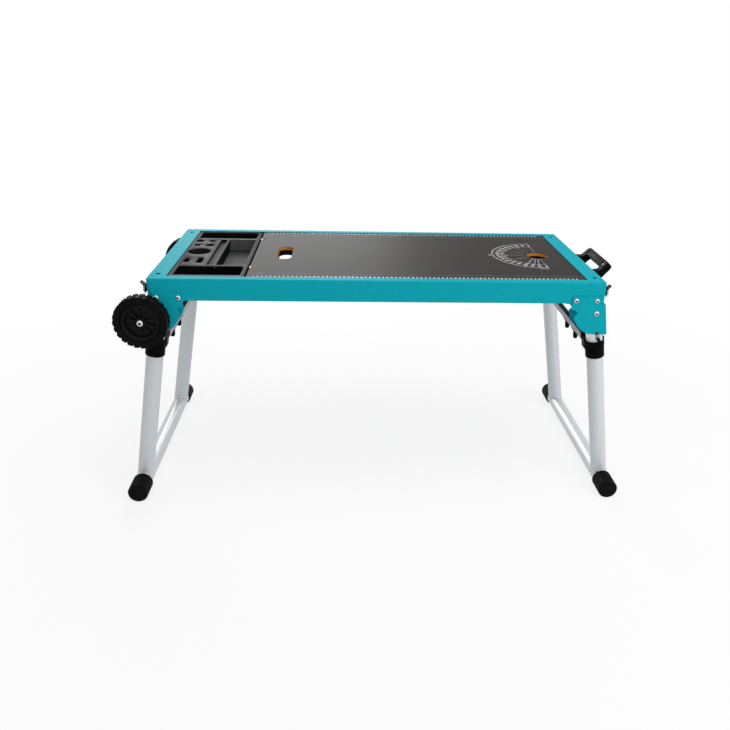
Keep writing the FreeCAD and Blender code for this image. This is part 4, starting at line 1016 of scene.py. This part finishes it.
def paper_floor():
    """Pale studio paper: dull, with the table's shadow near it and fading to plain white far off."""
    made, tree, shader, place = blank_finish("studio_paper")
    floor = bpy.context.scene.work_table_studio.floor
    set_inputs(tree, shader, Base_Color=blend_by(tree, grain(tree, place, 8), shade(floor, 0.985), shade(floor)),
               Roughness=0.9, Specular_IOR_Level=0.1)
    reach = add(tree, "ShaderNodeVectorMath", {0: place}, operation="LENGTH").outputs["Value"]
    far = add(tree, "ShaderNodeMapRange", {"Value": reach, "From Min": 0.7, "From Max": 1.9, "To Min": 0.8,
                                           "To Max": 1.0}, interpolation_type="SMOOTHSTEP").outputs["Result"]
    glow = add(tree, "ShaderNodeMath", {0: far, 1: seen_directly(tree)}, operation="MULTIPLY").outputs[0]
    white = add(tree, "ShaderNodeEmission").outputs["Emission"]
    both = add(tree, "ShaderNodeMixShader", {0: glow, 1: shader.outputs["BSDF"], 2: white}).outputs[0]
    tree.links.new(both, tree.nodes["Material Output"].inputs["Surface"])
    return made


def floor_plane():
    """Wide floor just under the table's feet."""
    work = bmesh.new()
    bmesh.ops.create_grid(work, x_segments=1, y_segments=1, size=14)
    bmesh.ops.translate(work, vec=(0, 0, -0.3 * MM), verts=work.verts)
    mesh = mesh_from(work, "floor")
    mesh.materials.append(paper_floor())
    made = bpy.data.objects.new("floor", mesh)
    link(made)


def sky(strength):
    """White surroundings for the camera and reflections, and a softer white for what they light."""
    world = bpy.data.worlds.new("studio")
    bpy.context.scene.world = world
    world.use_nodes = True
    tree = world.node_tree
    level = range_by(tree, seen_directly(tree), strength, 1, (0, 1))
    set_inputs(tree, tree.nodes["Background"], Color=(1, 1, 1, 1), Strength=level)


class WORKTABLE_OT_studio(DressOperator, bpy.types.Operator):
    """Camera, pale floor, soft lamps and white surroundings"""

    bl_idname = "worktable.studio"
    bl_label = "Studio"

    def build(self, scene):
        """Builds everything round the table."""
        studio = scene.work_table_studio
        camera()
        floor_plane()
        sky(studio.sky)
        area_lamp("key_lamp", (0.4, -0.5, 2.7), (0, 0, 0.4), 2.4, studio.key_power)
        area_lamp("side_lamp", (-0.52, 2.4, 1.25), (-0.15, 0, 0.55), 1.5, studio.side_power)
        area_lamp("fill_lamp", (1.9, -2.0, 1.3), (0.1, 0, 0.35), 1.6, studio.fill_power)
        scene.view_settings.view_transform = "Standard"


OPERATORS = (
    WORKTABLE_OT_studio, WORKTABLE_OT_deck, WORKTABLE_OT_worktop, WORKTABLE_OT_rules, WORKTABLE_OT_protractor,
    WORKTABLE_OT_tray, WORKTABLE_OT_brackets, WORKTABLE_OT_screws, WORKTABLE_OT_legs, WORKTABLE_OT_releases,
    WORKTABLE_OT_wheels, WORKTABLE_OT_handle, WORKTABLE_OT_latches,
)


class WORKTABLE_PT_sidebar(bpy.types.Panel):
    """Lists the table's pieces and settings in the sidebar."""

    bl_idname = "WORKTABLE_PT_sidebar"
    bl_label = "Work table"
    bl_space_type = "VIEW_3D"
    bl_region_type = "UI"
    bl_category = "Work Table"

    def draw(self, context):
        """Draws the settings and one button for each operator."""
        for name in SETTINGS:
            group = getattr(context.scene, name)
            box = self.layout.box()
            for key in group.__annotations__:
                box.prop(group, key)
        for operator in OPERATORS:
            self.layout.operator(operator.bl_idname)


SETTINGS = {
    "work_table_colours": WorkTableColours,
    "work_table_scales": WorkTableScales,
    "work_table_wheels": WorkTableWheels,
    "work_table_studio": WorkTableStudio,
}
CLASSES = (*SETTINGS.values(), *OPERATORS, WORKTABLE_PT_sidebar)


def register():
    """Registers the classes and puts the settings on the scene."""
    for made in CLASSES:
        bpy.utils.register_class(made)
    for name, group in SETTINGS.items():
        setattr(bpy.types.Scene, name, PointerProperty(type=group))


def unregister():
    """Takes the settings and the classes away again."""
    for name in SETTINGS:
        delattr(bpy.types.Scene, name)
    for made in reversed(CLASSES):
        bpy.utils.unregister_class(made)


def main():
    """Builds the studio and every piece."""
    register()
    for operator in OPERATORS:
        group, name = operator.bl_idname.split(".")
        getattr(getattr(bpy.ops, group), name)()


if __name__ == "__main__":
    main()
